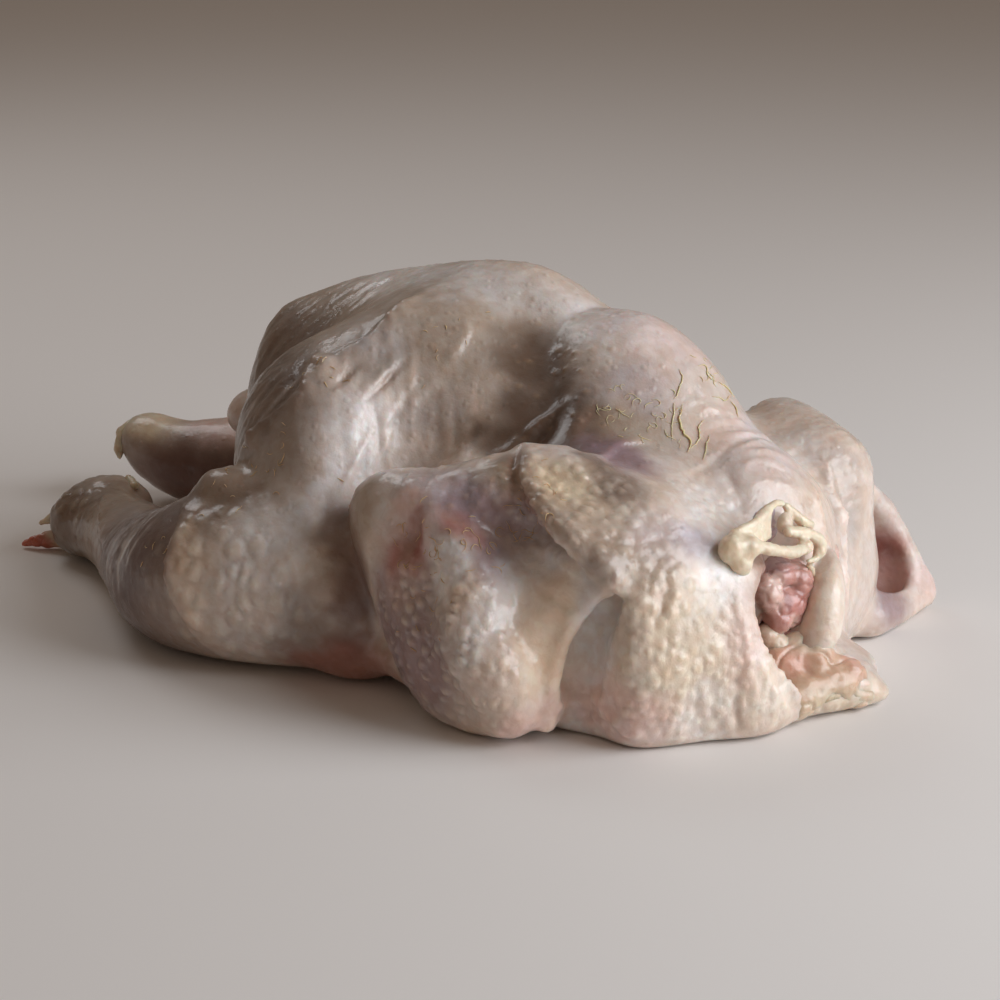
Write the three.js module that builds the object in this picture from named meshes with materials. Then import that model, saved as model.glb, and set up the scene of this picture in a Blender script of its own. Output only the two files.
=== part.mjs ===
// A whole raw chicken, plucked and drawn, lying on its breast with its back up.
//
// Frame: millimetres, +Z up, the table at z = 0, the neck towards +X, the bird's right side
// (its nearer drumstick and wing) towards -Y and its left side towards +Y.
//
// The bird is one piece of meat and skin, so it is one closed solid. Its shape is a field of
// distances on a regular grid: ellipsoids, tapering limbs along smooth curves and sheets of
// skin are blended into the field or carved out of it, and the field's zero surface is then
// skinned with one vertex for each grid cell that it crosses.

import * as THREE from 'three';

// ---------------------------------------------------------------- driving dimensions

const CELL = 5.8; // pitch of the grid, and so the size of a facet
const REACH = { low: [-232, -122, -8.7], high: [112, 102, 116] }; // space that the bird lies in
const FAR_AWAY = 40; // distance given to every grid point before anything is blended in
const TABLE_EDGE = 4; // radius where the flesh leaves the table

const THIN_SKIN = 3.4; // half the thickness of a fold of skin that stands free
const THICK_SKIN = 4.5; // and of the fat skin over the shoulder
const SKIN_BLEND = 4;
const MUSCLE_BLEND = 8;
const TRUNK_BLEND = 18;

const SKIN_COLOUR = 0xcbb3a2;
const SKIN_ROUGHNESS = 0.42;

// Stations along a limb or ridge are [x, y, z, radius].
const SPINE = [
  [-107, -10, 71, 15],
  [-72, -2, 78, 19],
  [-35, 2, 84, 20],
  [-15, 3, 72, 17],
  [8, 3, 77, 17],
  [32, 4, 53.5, 15.5],
  [52, 5, 43, 14],
];
const TAIL = [
  [-98, 0, 56, 20],
  [-122, 0, 46, 14],
  [-142, 0, 42, 9],
  [-150, 0, 40, 5],
];
const FLANK_VALLEY = [ // the hollow between the flank and the shoulder blade
  [-15, -20, 106, 10],
  [-12, -34, 99, 14],
  [-6, -52, 86, 15],
  [8, -64, 78, 10],
];

const NEAR_LEG = {
  thigh: [[-46, -26, 74, 24], [-56, -48, 56, 27], [-52, -70, 30, 22]],
  drumstick: [
    [-38, -71, 22, 22],
    [-66, -82, 24, 25],
    [-89, -84, 19, 20.5],
    [-111, -75, 16, 16],
    [-138, -62, 14.5, 13],
    [-157, -54, 13, 12],
  ],
  hock: { centre: [-167, -52, 12], radii: [13, 13, 12] },
};
const FAR_LEG = {
  thigh: [[-64, 28, 70, 24], [-84, 50, 44, 28], [-96, 62, 24, 22]],
  drumstick: [
    [-94, 56, 22, 21],
    [-120, 42, 19, 22],
    [-151, 25, 16, 19],
    [-183, 9, 14, 14.5],
    [-197, 4, 13.5, 12.5],
  ],
  hock: { centre: [-204, 4, 13.5], radii: [10, 11, 12.5] },
};

const NEAR_WING = {
  upperArm: [[46, -46, 50, 14], [26, -54, 58.5, 13], [6, -66, 53, 14], [-11, -71, 46, 15]],
  forearm: [[-11, -72, 46, 18], [2, -76, 30, 19], [14, -80, 16, 18], [22, -80, 9, 15]],
  hand: [[36, -73, 9, 8], [10, -76, 8.5, 8], [-16, -74, 9, 6]],
  flank: [[-26, -62, 14, 11], [-8, -62, 20, 13], [14, -60, 22, 14]], // pressed against the wing
  armpit: { centre: [-7, -50, 42], radii: [20, 16, 22] },
  // The web in the crook of the wing sags between the forearm and its own free lip.
  webRoot: [[16, -58, 64], [10, -75, 52], [18, -76, 42], [27, -79, 30], [36, -81, 18], [41, -80, 6]],
  webSag: [[32, -57, 57], [27, -67, 48], [33, -71, 40], [38, -76, 30], [41, -79, 18], [42, -79, 6]],
  webLip: [[58, -70, 47], [55, -73, 43], [51, -76, 37], [48, -79, 29], [46, -81, 18], [44, -79, 6]],
  behindLip: [[60, -81, 45, 8], [57, -84, 34, 11], [56, -86, 20, 12], [54, -83, -1, 17]],
};
const FAR_WING = {
  upperArm: [[44, 40, 46, 17], [24, 53, 50, 14], [20, 60, 46, 12]],
  forearm: [[20, 60, 45, 13], [35, 68, 31, 11.5], [50, 72, 10, 9]],
  hand: [[57, 76, 6, 6], [58, 62, 5, 7], [58, 48, 5, 8]],
  webRoot: [[42, 50, 50], [34, 58, 42], [42, 64, 24], [50, 68, 6]],
  webLip: [[46, 56, 42], [50, 67, 32], [56, 74, 15], [58, 76, 5]],
};
// The thick tongue of skin that lies over the shoulder, and the flesh that it lies on.
const SHOULDER = {
  edge: [[16, -56, 66], [21, -64, 63.5], [30, -70, 60], [38, -73, 56.5], [44, -74.5, 52], [52, -73, 47]],
  root: [[24, -48, 68], [31, -47, 66.5], [40, -50, 63], [49, -53, 58], [55, -57, 52], [59, -61, 45]],
  pad: [[40, -53, 52, 9], [46, -57, 45, 13], [52, -57, 34, 17], [54, -56, 22, 18]],
};

const NECK = {
  skinFold: [[66, -30, 36, 9], [71, -32, 20, 12], [74, -33, 8, 13]],
  flapBase: { centre: [76, -6, 6], radii: [15, 24, 9] },
  flap: [[80, -6, 5, 11], [86, -1, 4, 8], [90, 3, 3, 5]],
  opening: [
    [72, -15, 51, 5],
    [76, -19, 45, 8],
    [81, -24, 35, 11],
    [85, -26, 27, 11],
    [88, -25, 19, 8],
    [91, -22, 11, 4],
  ],
};

// ---------------------------------------------------------------- blending

function softMin(a, b, softness) {
  const overlap = Math.max(softness - Math.abs(a - b), 0) / softness;
  return Math.min(a, b) - overlap * overlap * softness / 4;
}

function softMax(a, b, softness) {
  return -softMin(-a, -b, softness);
}

// ---------------------------------------------------------------- shapes
// A shape is a box that bounds it and a function giving the distance to its surface,
// which is negative inside.

function ellipsoid(centre, radii, tiltDegrees = 0) {
  const [cx, cy, cz] = centre;
  const [rx, ry, rz] = radii;
  const cosine = Math.cos(THREE.MathUtils.degToRad(tiltDegrees));
  const sine = Math.sin(THREE.MathUtils.degToRad(tiltDegrees));
  const distance = (x, y, z) => {
    const u = ((x - cx) * cosine + (z - cz) * sine) / rx;
    const v = (y - cy) / ry;
    const w = ((z - cz) * cosine - (x - cx) * sine) / rz;
    const level = Math.hypot(u, v, w);
    const slope = Math.max(Math.hypot(u / rx, v / ry, w / rz), 1e-6);
    return level * (level - 1) / slope;
  };
  const largest = Math.max(rx, ry, rz);
  const box = new THREE.Box3().setFromCenterAndSize(
    new THREE.Vector3(cx, cy, cz),
    new THREE.Vector3(2 * largest, 2 * largest, 2 * largest),
  );
  return { box, distance };
}

// Points along a smooth curve through the stations, with the radius run along in w.
function smoothStations(stations, stepsPerSpan) {
  const centres = stations.map(([x, y, z]) => new THREE.Vector3(x, y, z));
  const path = new THREE.CatmullRomCurve3(centres, false, 'catmullrom', 0.5);
  const spans = stations.length - 1;
  const rows = [];
  for (let step = 0; step <= spans * stepsPerSpan; step += 1) {
    const place = step / stepsPerSpan;
    const span = Math.min(Math.floor(place), spans - 1);
    const radius = THREE.MathUtils.lerp(stations[span][3], stations[span + 1][3], place - span);
    const { x, y, z } = path.getPoint(place / spans);
    rows.push(new THREE.Vector4(x, y, z, radius));
  }
  return rows;
}

// A tapering round limb. A flattened one is thinner by the factor `amount` along `direction`.
function limb(stations, flattening = { direction: [0, 0, 1], amount: 1 }) {
  const stepsPerSpan = 6;
  const rows = smoothStations(stations, stepsPerSpan);
  const thin = new THREE.Vector3(...flattening.direction).normalize();
  const stretch = 1 / flattening.amount ** 2 - 1;
  const scale = (1 + flattening.amount) / 2;
  const box = new THREE.Box3();
  for (const { x, y, z, w } of rows) {
    const centre = new THREE.Vector3(x, y, z);
    box.union(new THREE.Box3(centre.clone().subScalar(w), centre.clone().addScalar(w)));
  }
  const distance = (x, y, z) => {
    let nearest = Infinity;
    for (let index = 1; index < rows.length; index += 1) {
      const from = rows[index - 1];
      const to = rows[index];
      const [dx, dy, dz] = [to.x - from.x, to.y - from.y, to.z - from.z];
      const along = ((x - from.x) * dx + (y - from.y) * dy + (z - from.z) * dz)
        / (dx * dx + dy * dy + dz * dz);
      const share = THREE.MathUtils.clamp(along, 0, 1);
      const px = x - from.x - share * dx;
      const py = y - from.y - share * dy;
      const pz = z - from.z - share * dz;
      const across = px * thin.x + py * thin.y + pz * thin.z;
      const offset = Math.sqrt(px * px + py * py + pz * pz + across * across * stretch);
      nearest = Math.min(nearest, offset - THREE.MathUtils.lerp(from.w, to.w, share));
    }
    return nearest * scale;
  };
  return { box, distance };
}

// A sheet of skin over lines that have the same number of points, from its root to its edge.
function skinSheet(lines, halfThickness) {
  const rows = lines.map((line) => line.map((point) => new THREE.Vector3(...point)));
  const triangles = [];
  for (let row = 1; row < rows.length; row += 1) {
    const [root, free] = [rows[row - 1], rows[row]];
    for (let index = 1; index < root.length; index += 1) {
      triangles.push(new THREE.Triangle(root[index - 1], root[index], free[index - 1]));
      triangles.push(new THREE.Triangle(root[index], free[index], free[index - 1]));
    }
  }
  const box = new THREE.Box3().setFromPoints(rows.flat()).expandByScalar(halfThickness);
  const sample = new THREE.Vector3();
  const foot = new THREE.Vector3();
  const distance = (x, y, z) => {
    sample.set(x, y, z);
    let nearest = Infinity;
    for (const triangle of triangles) {
      triangle.closestPointToPoint(sample, foot);
      nearest = Math.min(nearest, foot.distanceTo(sample));
    }
    return nearest - halfThickness;
  };
  return { box, distance };
}

// ---------------------------------------------------------------- the grid of distances

class Flesh {
  constructor(low, high, cell) {
    this.low = low;
    this.cell = cell;
    this.count = low.map((start, axis) => Math.ceil((high[axis] - start) / cell) + 1);
    this.step = [1, this.count[0], this.count[0] * this.count[1]];
    this.value = new Float32Array(this.count[0] * this.count[1] * this.count[2]).fill(FAR_AWAY);
  }

  at(i, j, k) {
    return i + j * this.step[1] + k * this.step[2];
  }

  place(index, axis) {
    return this.low[axis] + index * this.cell;
  }

  // Runs `visit(index, x, y, z)` on the grid points in a box.
  visitBox(box, visit) {
    const first = box.min.toArray().map((bound, axis) => (
      Math.max(0, Math.floor((bound - this.low[axis]) / this.cell))));
    const last = box.max.toArray().map((bound, axis) => (
      Math.min(this.count[axis] - 1, Math.ceil((bound - this.low[axis]) / this.cell))));
    for (let k = first[2]; k <= last[2]; k += 1) {
      for (let j = first[1]; j <= last[1]; j += 1) {
        for (let i = first[0]; i <= last[0]; i += 1) {
          visit(this.at(i, j, k), this.place(i, 0), this.place(j, 1), this.place(k, 2));
        }
      }
    }
  }

  blend(shape, softness) {
    const margin = softness + 2 * this.cell;
    this.visitBox(shape.box.clone().expandByScalar(margin), (index, x, y, z) => {
      this.value[index] = softMin(this.value[index], shape.distance(x, y, z), softness);
    });
  }

  carve(shape, softness) {
    const margin = softness + 2 * this.cell;
    this.visitBox(shape.box.clone().expandByScalar(margin), (index, x, y, z) => {
      this.value[index] = softMax(this.value[index], -shape.distance(x, y, z), softness);
    });
  }

  // Presses the underside flat on the plane z = 0.
  settle(softness) {
    const top = this.count.map((points, axis) => this.place(points - 1, axis));
    const whole = new THREE.Box3(new THREE.Vector3(...this.low), new THREE.Vector3(...top));
    this.visitBox(whole, (index, x, y, z) => {
      this.value[index] = softMax(this.value[index], -z, softness);
    });
  }
}

// ---------------------------------------------------------------- anatomy

function addTrunk(flesh) {
  flesh.blend(ellipsoid([-13, 0, 46], [55, 50, 46]), 1);
  flesh.blend(ellipsoid([22, -4, 18], [52, 64, 38]), TRUNK_BLEND);
  flesh.blend(ellipsoid([48, -42, 17], [29, 33, 44]), 10);
  flesh.blend(ellipsoid([38, 34, 22], [27, 28, 32]), 10);
  flesh.blend(ellipsoid([48, -2, 30], [22, 28, 36]), 12);
  flesh.blend(ellipsoid([-64, 0, 58], [54, 42, 36]), TRUNK_BLEND);
  flesh.blend(ellipsoid([-64, 0, 34], [56, 46, 32]), TRUNK_BLEND);
  flesh.blend(limb(SPINE), 12);
  flesh.blend(ellipsoid([-92, -9, 54], [35, 28, 24.5]), 12);
  const shoulderBladeTilt = -15;
  flesh.blend(ellipsoid([28, -32, 50], [28, 22, 18], shoulderBladeTilt), 12);
  flesh.blend(ellipsoid([22, 30, 38], [28, 22, 17], shoulderBladeTilt), 12);
  flesh.blend(limb(TAIL), 12);
  flesh.carve(limb(FLANK_VALLEY), 12);
}

function addLeg(flesh, leg, kneeBlend) {
  flesh.blend(limb(leg.thigh), 16);
  flesh.blend(limb(leg.drumstick), kneeBlend);
  flesh.blend(ellipsoid(leg.hock.centre, leg.hock.radii), SKIN_BLEND);
}

function addNearLeg(flesh) {
  const hamTilt = 20;
  flesh.blend(ellipsoid([-66, -44, 52], [32, 24, 30], hamTilt), 12);
  addLeg(flesh, NEAR_LEG, MUSCLE_BLEND);
  flesh.blend(ellipsoid([-30, -72, 12], [15, 14, 14]), SKIN_BLEND);
}

function addNearWing(flesh) {
  const forearmSide = { direction: [0, 1, 0.3], amount: 0.72 };
  const handTop = { direction: [0, 0.3, 1], amount: 0.8 };
  const web = [NEAR_WING.webRoot, NEAR_WING.webSag, NEAR_WING.webLip];
  flesh.blend(limb(NEAR_WING.flank), MUSCLE_BLEND);
  flesh.blend(ellipsoid(NEAR_WING.armpit.centre, NEAR_WING.armpit.radii), MUSCLE_BLEND);
  flesh.blend(limb(SHOULDER.pad), MUSCLE_BLEND);
  flesh.carve(limb(NEAR_WING.behindLip), MUSCLE_BLEND);
  flesh.blend(limb(NEAR_WING.upperArm), SKIN_BLEND);
  flesh.blend(limb(NEAR_WING.forearm, forearmSide), SKIN_BLEND);
  flesh.blend(skinSheet(web, THIN_SKIN), SKIN_BLEND);
  flesh.blend(limb(NEAR_WING.hand, handTop), SKIN_BLEND);
  flesh.blend(skinSheet([SHOULDER.root, SHOULDER.edge], THICK_SKIN), SKIN_BLEND);
}

function addFarWing(flesh) {
  const forearmSide = { direction: [0, 1, 0], amount: 0.8 };
  flesh.blend(limb(FAR_WING.upperArm), MUSCLE_BLEND);
  flesh.blend(limb(FAR_WING.forearm, forearmSide), SKIN_BLEND);
  flesh.blend(skinSheet([FAR_WING.webRoot, FAR_WING.webLip], THIN_SKIN), SKIN_BLEND);
  flesh.blend(limb(FAR_WING.hand), SKIN_BLEND);
}

// The neck is cut off short. Its loose skin stands round the cut end and lies on the table.
function addNeck(flesh) {
  flesh.blend(limb(NECK.skinFold), MUSCLE_BLEND);
  flesh.blend(ellipsoid(NECK.flapBase.centre, NECK.flapBase.radii), MUSCLE_BLEND);
  flesh.blend(limb(NECK.flap, { direction: [0, 0, 1], amount: 0.8 }), SKIN_BLEND);
  flesh.carve(limb(NECK.opening), SKIN_BLEND);
}

// ---------------------------------------------------------------- one sound body

const AXES = [0, 1, 2];

// Marks every grid point reached from `seed` through neighbours on the same side of the skin.
function spread(flesh, seed) {
  const inside = flesh.value[seed] < 0;
  const reached = new Uint8Array(flesh.value.length);
  const queue = [seed];
  reached[seed] = 1;
  while (queue.length > 0) {
    const index = queue.pop();
    for (const axis of AXES) {
      const position = Math.floor(index / flesh.step[axis]) % flesh.count[axis];
      const ways = [];
      if (position > 0) ways.push(index - flesh.step[axis]);
      if (position < flesh.count[axis] - 1) ways.push(index + flesh.step[axis]);
      for (const next of ways) {
        if (!reached[next] && (flesh.value[next] < 0) === inside) {
          reached[next] = 1;
          queue.push(next);
        }
      }
    }
  }
  return reached;
}

// Drops loose scraps and fills sealed hollows.
function keepOneBody(flesh) {
  const heart = flesh.at(...[-13, 0, 46].map((place, axis) => (
    Math.round((place - flesh.low[axis]) / flesh.cell))));
  const body = spread(flesh, heart);
  const air = spread(flesh, flesh.value.length - 1);
  flesh.value.forEach((distance, index) => {
    if (distance < 0 && !body[index]) flesh.value[index] = flesh.cell / 2;
    if (distance >= 0 && !air[index]) flesh.value[index] = -flesh.cell / 2;
  });
}

// Where flesh meets flesh only across the diagonal of a grid square or of a grid cube, the
// skin would touch itself along a line or at a point. One air point there becomes flesh.
function fillPinches(flesh) {
  const filled = -flesh.cell / 6;
  let changed = false;
  const fillDiagonal = (a, b, c, d) => {
    const [inA, inB, inC, inD] = [a, b, c, d].map((index) => flesh.value[index] < 0);
    if (inA === inD && inB === inC && inA !== inB) {
      flesh.value[inA ? b : a] = filled;
      changed = true;
    }
  };
  const [sx, sy, sz] = flesh.step;
  for (let k = 0; k < flesh.count[2] - 1; k += 1) {
    for (let j = 0; j < flesh.count[1] - 1; j += 1) {
      for (let i = 0; i < flesh.count[0] - 1; i += 1) {
        const corner = flesh.at(i, j, k);
        fillDiagonal(corner, corner + sx, corner + sy, corner + sx + sy);
        fillDiagonal(corner, corner + sy, corner + sz, corner + sy + sz);
        fillDiagonal(corner, corner + sz, corner + sx, corner + sz + sx);
        for (const [near, far] of [[0, sx + sy + sz], [sx, sy + sz], [sy, sx + sz], [sz, sx + sy]]) {
          const cube = [0, sx, sy, sz, sx + sy, sy + sz, sz + sx, sx + sy + sz];
          const fleshCount = cube.filter((offset) => flesh.value[corner + offset] < 0).length;
          const nearIn = flesh.value[corner + near] < 0;
          const farIn = flesh.value[corner + far] < 0;
          if (nearIn === farIn && fleshCount === (nearIn ? 2 : 6)) {
            const mend = nearIn ? cube.find((offset) => flesh.value[corner + offset] >= 0) : near;
            flesh.value[corner + mend] = filled;
            changed = true;
          }
        }
      }
    }
  }
  return changed;
}

// ---------------------------------------------------------------- skinning

// The vertex of a cell is the mean of the points where its twelve edges cross the surface.
function cellVertex(flesh, i, j, k) {
  const sum = new THREE.Vector3();
  let crossings = 0;
  for (const axis of AXES) {
    const [second, third] = [(axis + 1) % 3, (axis + 2) % 3];
    for (const [u, v] of [[0, 0], [1, 0], [0, 1], [1, 1]]) {
      const start = [i, j, k];
      start[second] += u;
      start[third] += v;
      const index = flesh.at(...start);
      const from = flesh.value[index];
      const to = flesh.value[index + flesh.step[axis]];
      if ((from < 0) !== (to < 0)) {
        start[axis] += from / (from - to);
        sum.add(new THREE.Vector3(...start));
        crossings += 1;
      }
    }
  }
  if (crossings === 0) return null;
  const [x, y, z] = sum.divideScalar(crossings).toArray();
  return new THREE.Vector3(flesh.place(x, 0), flesh.place(y, 1), flesh.place(z, 2));
}

function skin(flesh) {
  const points = [];
  const vertexOf = new Int32Array(flesh.value.length).fill(-1);
  for (let k = 0; k < flesh.count[2] - 1; k += 1) {
    for (let j = 0; j < flesh.count[1] - 1; j += 1) {
      for (let i = 0; i < flesh.count[0] - 1; i += 1) {
        const vertex = cellVertex(flesh, i, j, k);
        if (vertex) {
          vertexOf[flesh.at(i, j, k)] = points.length;
          points.push(vertex);
        }
      }
    }
  }
  const triangles = [];
  const addQuad = (a, b, c, d) => {
    const shorter = points[a].distanceToSquared(points[c]) <= points[b].distanceToSquared(points[d]);
    triangles.push(...(shorter ? [a, b, c, a, c, d] : [b, c, d, b, d, a]));
  };
  for (let k = 1; k < flesh.count[2] - 1; k += 1) {
    for (let j = 1; j < flesh.count[1] - 1; j += 1) {
      for (let i = 1; i < flesh.count[0] - 1; i += 1) {
        const index = flesh.at(i, j, k);
        for (const axis of AXES) {
          const inside = flesh.value[index] < 0;
          if (inside !== (flesh.value[index + flesh.step[axis]] < 0)) {
            const [u, v] = [flesh.step[(axis + 1) % 3], flesh.step[(axis + 2) % 3]];
            const ring = [index - u - v, index - v, index, index - u].map((cell) => vertexOf[cell]);
            addQuad(...(inside ? ring : ring.reverse()));
          }
        }
      }
    }
  }
  const geometry = new THREE.BufferGeometry().setFromPoints(points);
  geometry.setIndex(triangles);
  geometry.computeVertexNormals();
  return geometry;
}

// ---------------------------------------------------------------- the bird

function makeChicken() {
  const flesh = new Flesh(REACH.low, REACH.high, CELL);
  addTrunk(flesh);
  addNearLeg(flesh);
  addLeg(flesh, FAR_LEG, 12);
  addNearWing(flesh);
  addFarWing(flesh);
  addNeck(flesh);
  flesh.settle(TABLE_EDGE);
  keepOneBody(flesh);
  while (fillPinches(flesh));

  const material = new THREE.MeshStandardMaterial({
    color: SKIN_COLOUR,
    roughness: SKIN_ROUGHNESS,
    metalness: 0,
  });
  const chicken = new THREE.Mesh(skin(flesh), material);
  chicken.name = 'chicken';
  return chicken;
}

// The origin is under the middle of the bird's bounding box, on the table.
const chicken = makeChicken();
const middle = new THREE.Box3().setFromObject(chicken).getCenter(new THREE.Vector3());
chicken.position.set(-middle.x, -middle.y, 0);

const part = new THREE.Group();
part.add(chicken);

export default part;
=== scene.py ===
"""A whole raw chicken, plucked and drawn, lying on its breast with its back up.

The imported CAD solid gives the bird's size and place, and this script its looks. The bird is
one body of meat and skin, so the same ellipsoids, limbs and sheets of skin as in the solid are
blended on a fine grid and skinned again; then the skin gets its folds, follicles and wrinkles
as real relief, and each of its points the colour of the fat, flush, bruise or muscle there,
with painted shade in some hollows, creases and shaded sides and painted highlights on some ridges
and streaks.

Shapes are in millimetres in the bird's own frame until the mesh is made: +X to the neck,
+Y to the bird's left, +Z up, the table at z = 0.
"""

import math
from itertools import product

import bpy
import numpy as np
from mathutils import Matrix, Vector
from mathutils.kdtree import KDTree

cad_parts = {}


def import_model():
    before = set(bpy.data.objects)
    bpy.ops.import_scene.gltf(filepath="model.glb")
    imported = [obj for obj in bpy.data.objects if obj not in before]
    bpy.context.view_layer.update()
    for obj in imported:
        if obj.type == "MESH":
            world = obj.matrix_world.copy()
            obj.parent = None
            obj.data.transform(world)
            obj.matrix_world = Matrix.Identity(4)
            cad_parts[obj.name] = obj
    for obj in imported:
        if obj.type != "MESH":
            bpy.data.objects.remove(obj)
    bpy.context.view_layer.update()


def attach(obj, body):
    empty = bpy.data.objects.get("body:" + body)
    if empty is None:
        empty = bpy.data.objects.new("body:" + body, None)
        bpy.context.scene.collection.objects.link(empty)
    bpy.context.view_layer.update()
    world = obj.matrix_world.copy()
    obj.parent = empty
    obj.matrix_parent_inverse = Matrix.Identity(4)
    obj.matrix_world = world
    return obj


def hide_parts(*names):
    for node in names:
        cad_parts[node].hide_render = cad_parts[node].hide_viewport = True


# ------------------------------------------------------------------ named sizes

MM = 0.001
ORIGIN = np.array([59.86, 11.45, 0.0])  # from the bird's frame to the CAD frame, mm

FINE = 0.95  # grid pitch where the near side and the neck show their detail
COARSE = 1.9  # and on the far side
GROWTH = 1.05  # from one grid step to the next in between
REACH_LOW = (-226.0, -118.0, -5.0)
REACH_HIGH = (106.0, 98.0, 114.0)
FINE_LOW = (-100.0, -118.0, -5.0)
FINE_HIGH = (106.0, -6.0, 114.0)
FAR_AWAY = 40.0
TABLE_EDGE = 4.0

THIN_SKIN = 1.8
SKIN_BLEND = 4.0
MUSCLE_BLEND = 8.0
BODY_BLEND = 12.0
THIGH_BLEND = 16.0
TRUNK_BLEND = 18.0

CAMERA_AZIMUTH = 41.0
CAMERA_ELEVATION = 17.0
CAMERA_DISTANCE = 800.0
CAMERA_LENS = 96.5
CAMERA_SENSOR = 36.0
CAMERA_TARGET = (-41.0, 0.0, 32.0)


# ------------------------------------------------------------------ blending and noise


def soft_min(a, b, softness):
    overlap = np.maximum(softness - np.abs(a - b), 0) / softness
    return np.minimum(a, b) - overlap * overlap * softness / 4


def soft_max(a, b, softness):
    return -soft_min(-a, -b, softness)


def smoothstep(low, high, value):
    t = np.clip((value - low) / (high - low), 0, 1)
    return t * t * (3 - 2 * t)


def hashed(cell, seed):
    """A repeatable random number from 0 to 1 for each whole-numbered cell (n, 3)."""
    c = cell.astype(np.int64)
    h = c[..., 0] * 73856093 ^ c[..., 1] * 19349663 ^ c[..., 2] * 83492791 ^ seed * 2654435761
    h = h & 0xFFFFFFFF
    h = (h ^ (h >> 15)) * 2246822519 & 0xFFFFFFFF
    h = (h ^ (h >> 13)) * 3266489917 & 0xFFFFFFFF
    return ((h ^ (h >> 16)) & 0xFFFFFF) / float(0xFFFFFF)


def noise(points, size, seed):
    """Smooth noise from -1 to 1 with features of about `size`."""
    p = points / size
    base = np.floor(p)
    t = p - base
    t = t * t * (3 - 2 * t)
    total = 0
    for corner in product((0, 1), repeat=3):
        weight = np.where(corner, t, 1 - t).prod(1)
        total = total + weight * hashed(base + corner, seed)
    return 2 * total - 1


def layered_noise(points, size, seed, layers=3):
    total = 0
    for layer in range(layers):
        total = total + noise(points, size / 2**layer, seed + layer) / 2**layer
    return total / (2 - 2 ** (1 - layers))


def cells(points, size, seed, jitter=0.85):
    """Distances to the nearest and second nearest of scattered points, in sizes."""
    p = points / size
    base = np.floor(p)
    first = np.full(len(p), 9.0)
    second = np.full(len(p), 9.0)
    for offset in product((-1, 0, 1), repeat=3):
        cell = base + offset
        spot = np.stack([hashed(cell, seed + axis) for axis in range(3)], 1)
        distance = np.linalg.norm(cell + 0.5 + jitter * (spot - 0.5) - p, axis=1)
        second = np.minimum(second, np.maximum(first, distance))
        first = np.minimum(first, distance)
    return first, second


# ------------------------------------------------------------------ shapes
# A shape is (distance function of x, y, z; lowest corner; highest corner).


def dot(x, y, z, way):
    return x * way[0] + y * way[1] + z * way[2]


def ellipsoid(centre, radii, tilt=0.0):
    """An ellipsoid whose end towards the neck is raised by `tilt` degrees."""
    c = np.array(centre, np.float32)
    r = np.array(radii, np.float32)
    cosine = math.cos(math.radians(tilt))
    sine = math.sin(math.radians(tilt))

    def distance(x, y, z):
        u = ((x - c[0]) * cosine + (z - c[2]) * sine) / r[0]
        v = (y - c[1]) / r[1]
        w = ((z - c[2]) * cosine - (x - c[0]) * sine) / r[2]
        level = np.sqrt(u * u + v * v + w * w)
        slope = np.sqrt((u / r[0]) ** 2 + (v / r[1]) ** 2 + (w / r[2]) ** 2)
        return level * (level - 1) / np.maximum(slope, 1e-6)

    return distance, c - r.max(), c + r.max()


def smooth_stations(stations, steps=10):
    """Catmull-Rom curve through rows of x, y, z and radius."""
    rows = np.array(stations, float)
    padded = np.vstack([2 * rows[0] - rows[1], rows, 2 * rows[-1] - rows[-2]])
    out = []
    for span in range(len(rows) - 1):
        a, b, c, d = padded[span : span + 4]
        for t in np.arange(steps) / steps:
            bend = (c - a) * t + (2 * a - 5 * b + 4 * c - d) * t**2
            out.append(0.5 * (2 * b + bend + (3 * b - a - 3 * c + d) * t**3))
    out.append(rows[-1])
    return np.array(out, np.float32)


def limb(stations, flat=(0, 0, 1), amount=1.0):
    """A tapering round limb, thinner by the factor `amount` along `flat`."""
    rows = smooth_stations(stations)
    centre = rows[:, :3]
    radius = np.maximum(rows[:, 3], 0.3)
    thin = np.array(flat, np.float32) / np.linalg.norm(flat)
    stretch = 1 / amount**2 - 1

    def distance(x, y, z):
        nearest = None
        for a, b, ra, rb in zip(centre[:-1], centre[1:], radius[:-1], radius[1:]):
            d = b - a
            px, py, pz = x - a[0], y - a[1], z - a[2]
            share = np.clip(dot(px, py, pz, d) / float(d @ d), 0, 1)
            px, py, pz = px - share * d[0], py - share * d[1], pz - share * d[2]
            square = px * px + py * py + pz * pz
            if stretch:
                square = square + dot(px, py, pz, thin) ** 2 * stretch
            offset = np.sqrt(square) - (ra + (rb - ra) * share)
            nearest = offset if nearest is None else np.minimum(nearest, offset)
        return nearest * (1 + amount) / 2

    return distance, (centre - radius[:, None]).min(0), (centre + radius[:, None]).max(0)


def triangle(a, b, c):
    """Distance to a flat triangle."""
    a, b, c = (np.array(v, np.float32) for v in (a, b, c))
    edges = ((a, b - a), (b, c - b), (c, a - c))
    normal = np.cross(b - a, a - c)

    def distance(x, y, z):
        side = 0
        edge = None
        for start, along in edges:
            px, py, pz = x - start[0], y - start[1], z - start[2]
            side = side + np.sign(dot(px, py, pz, np.cross(along, normal)))
            share = np.clip(dot(px, py, pz, along) / float(along @ along), 0, 1)
            square = (
                (px - share * along[0]) ** 2
                + (py - share * along[1]) ** 2
                + (pz - share * along[2]) ** 2
            )
            edge = square if edge is None else np.minimum(edge, square)
        height = dot(x - a[0], y - a[1], z - a[2], normal)
        return np.sqrt(np.where(side < 2, edge, height**2 / float(normal @ normal)))

    return distance


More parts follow.
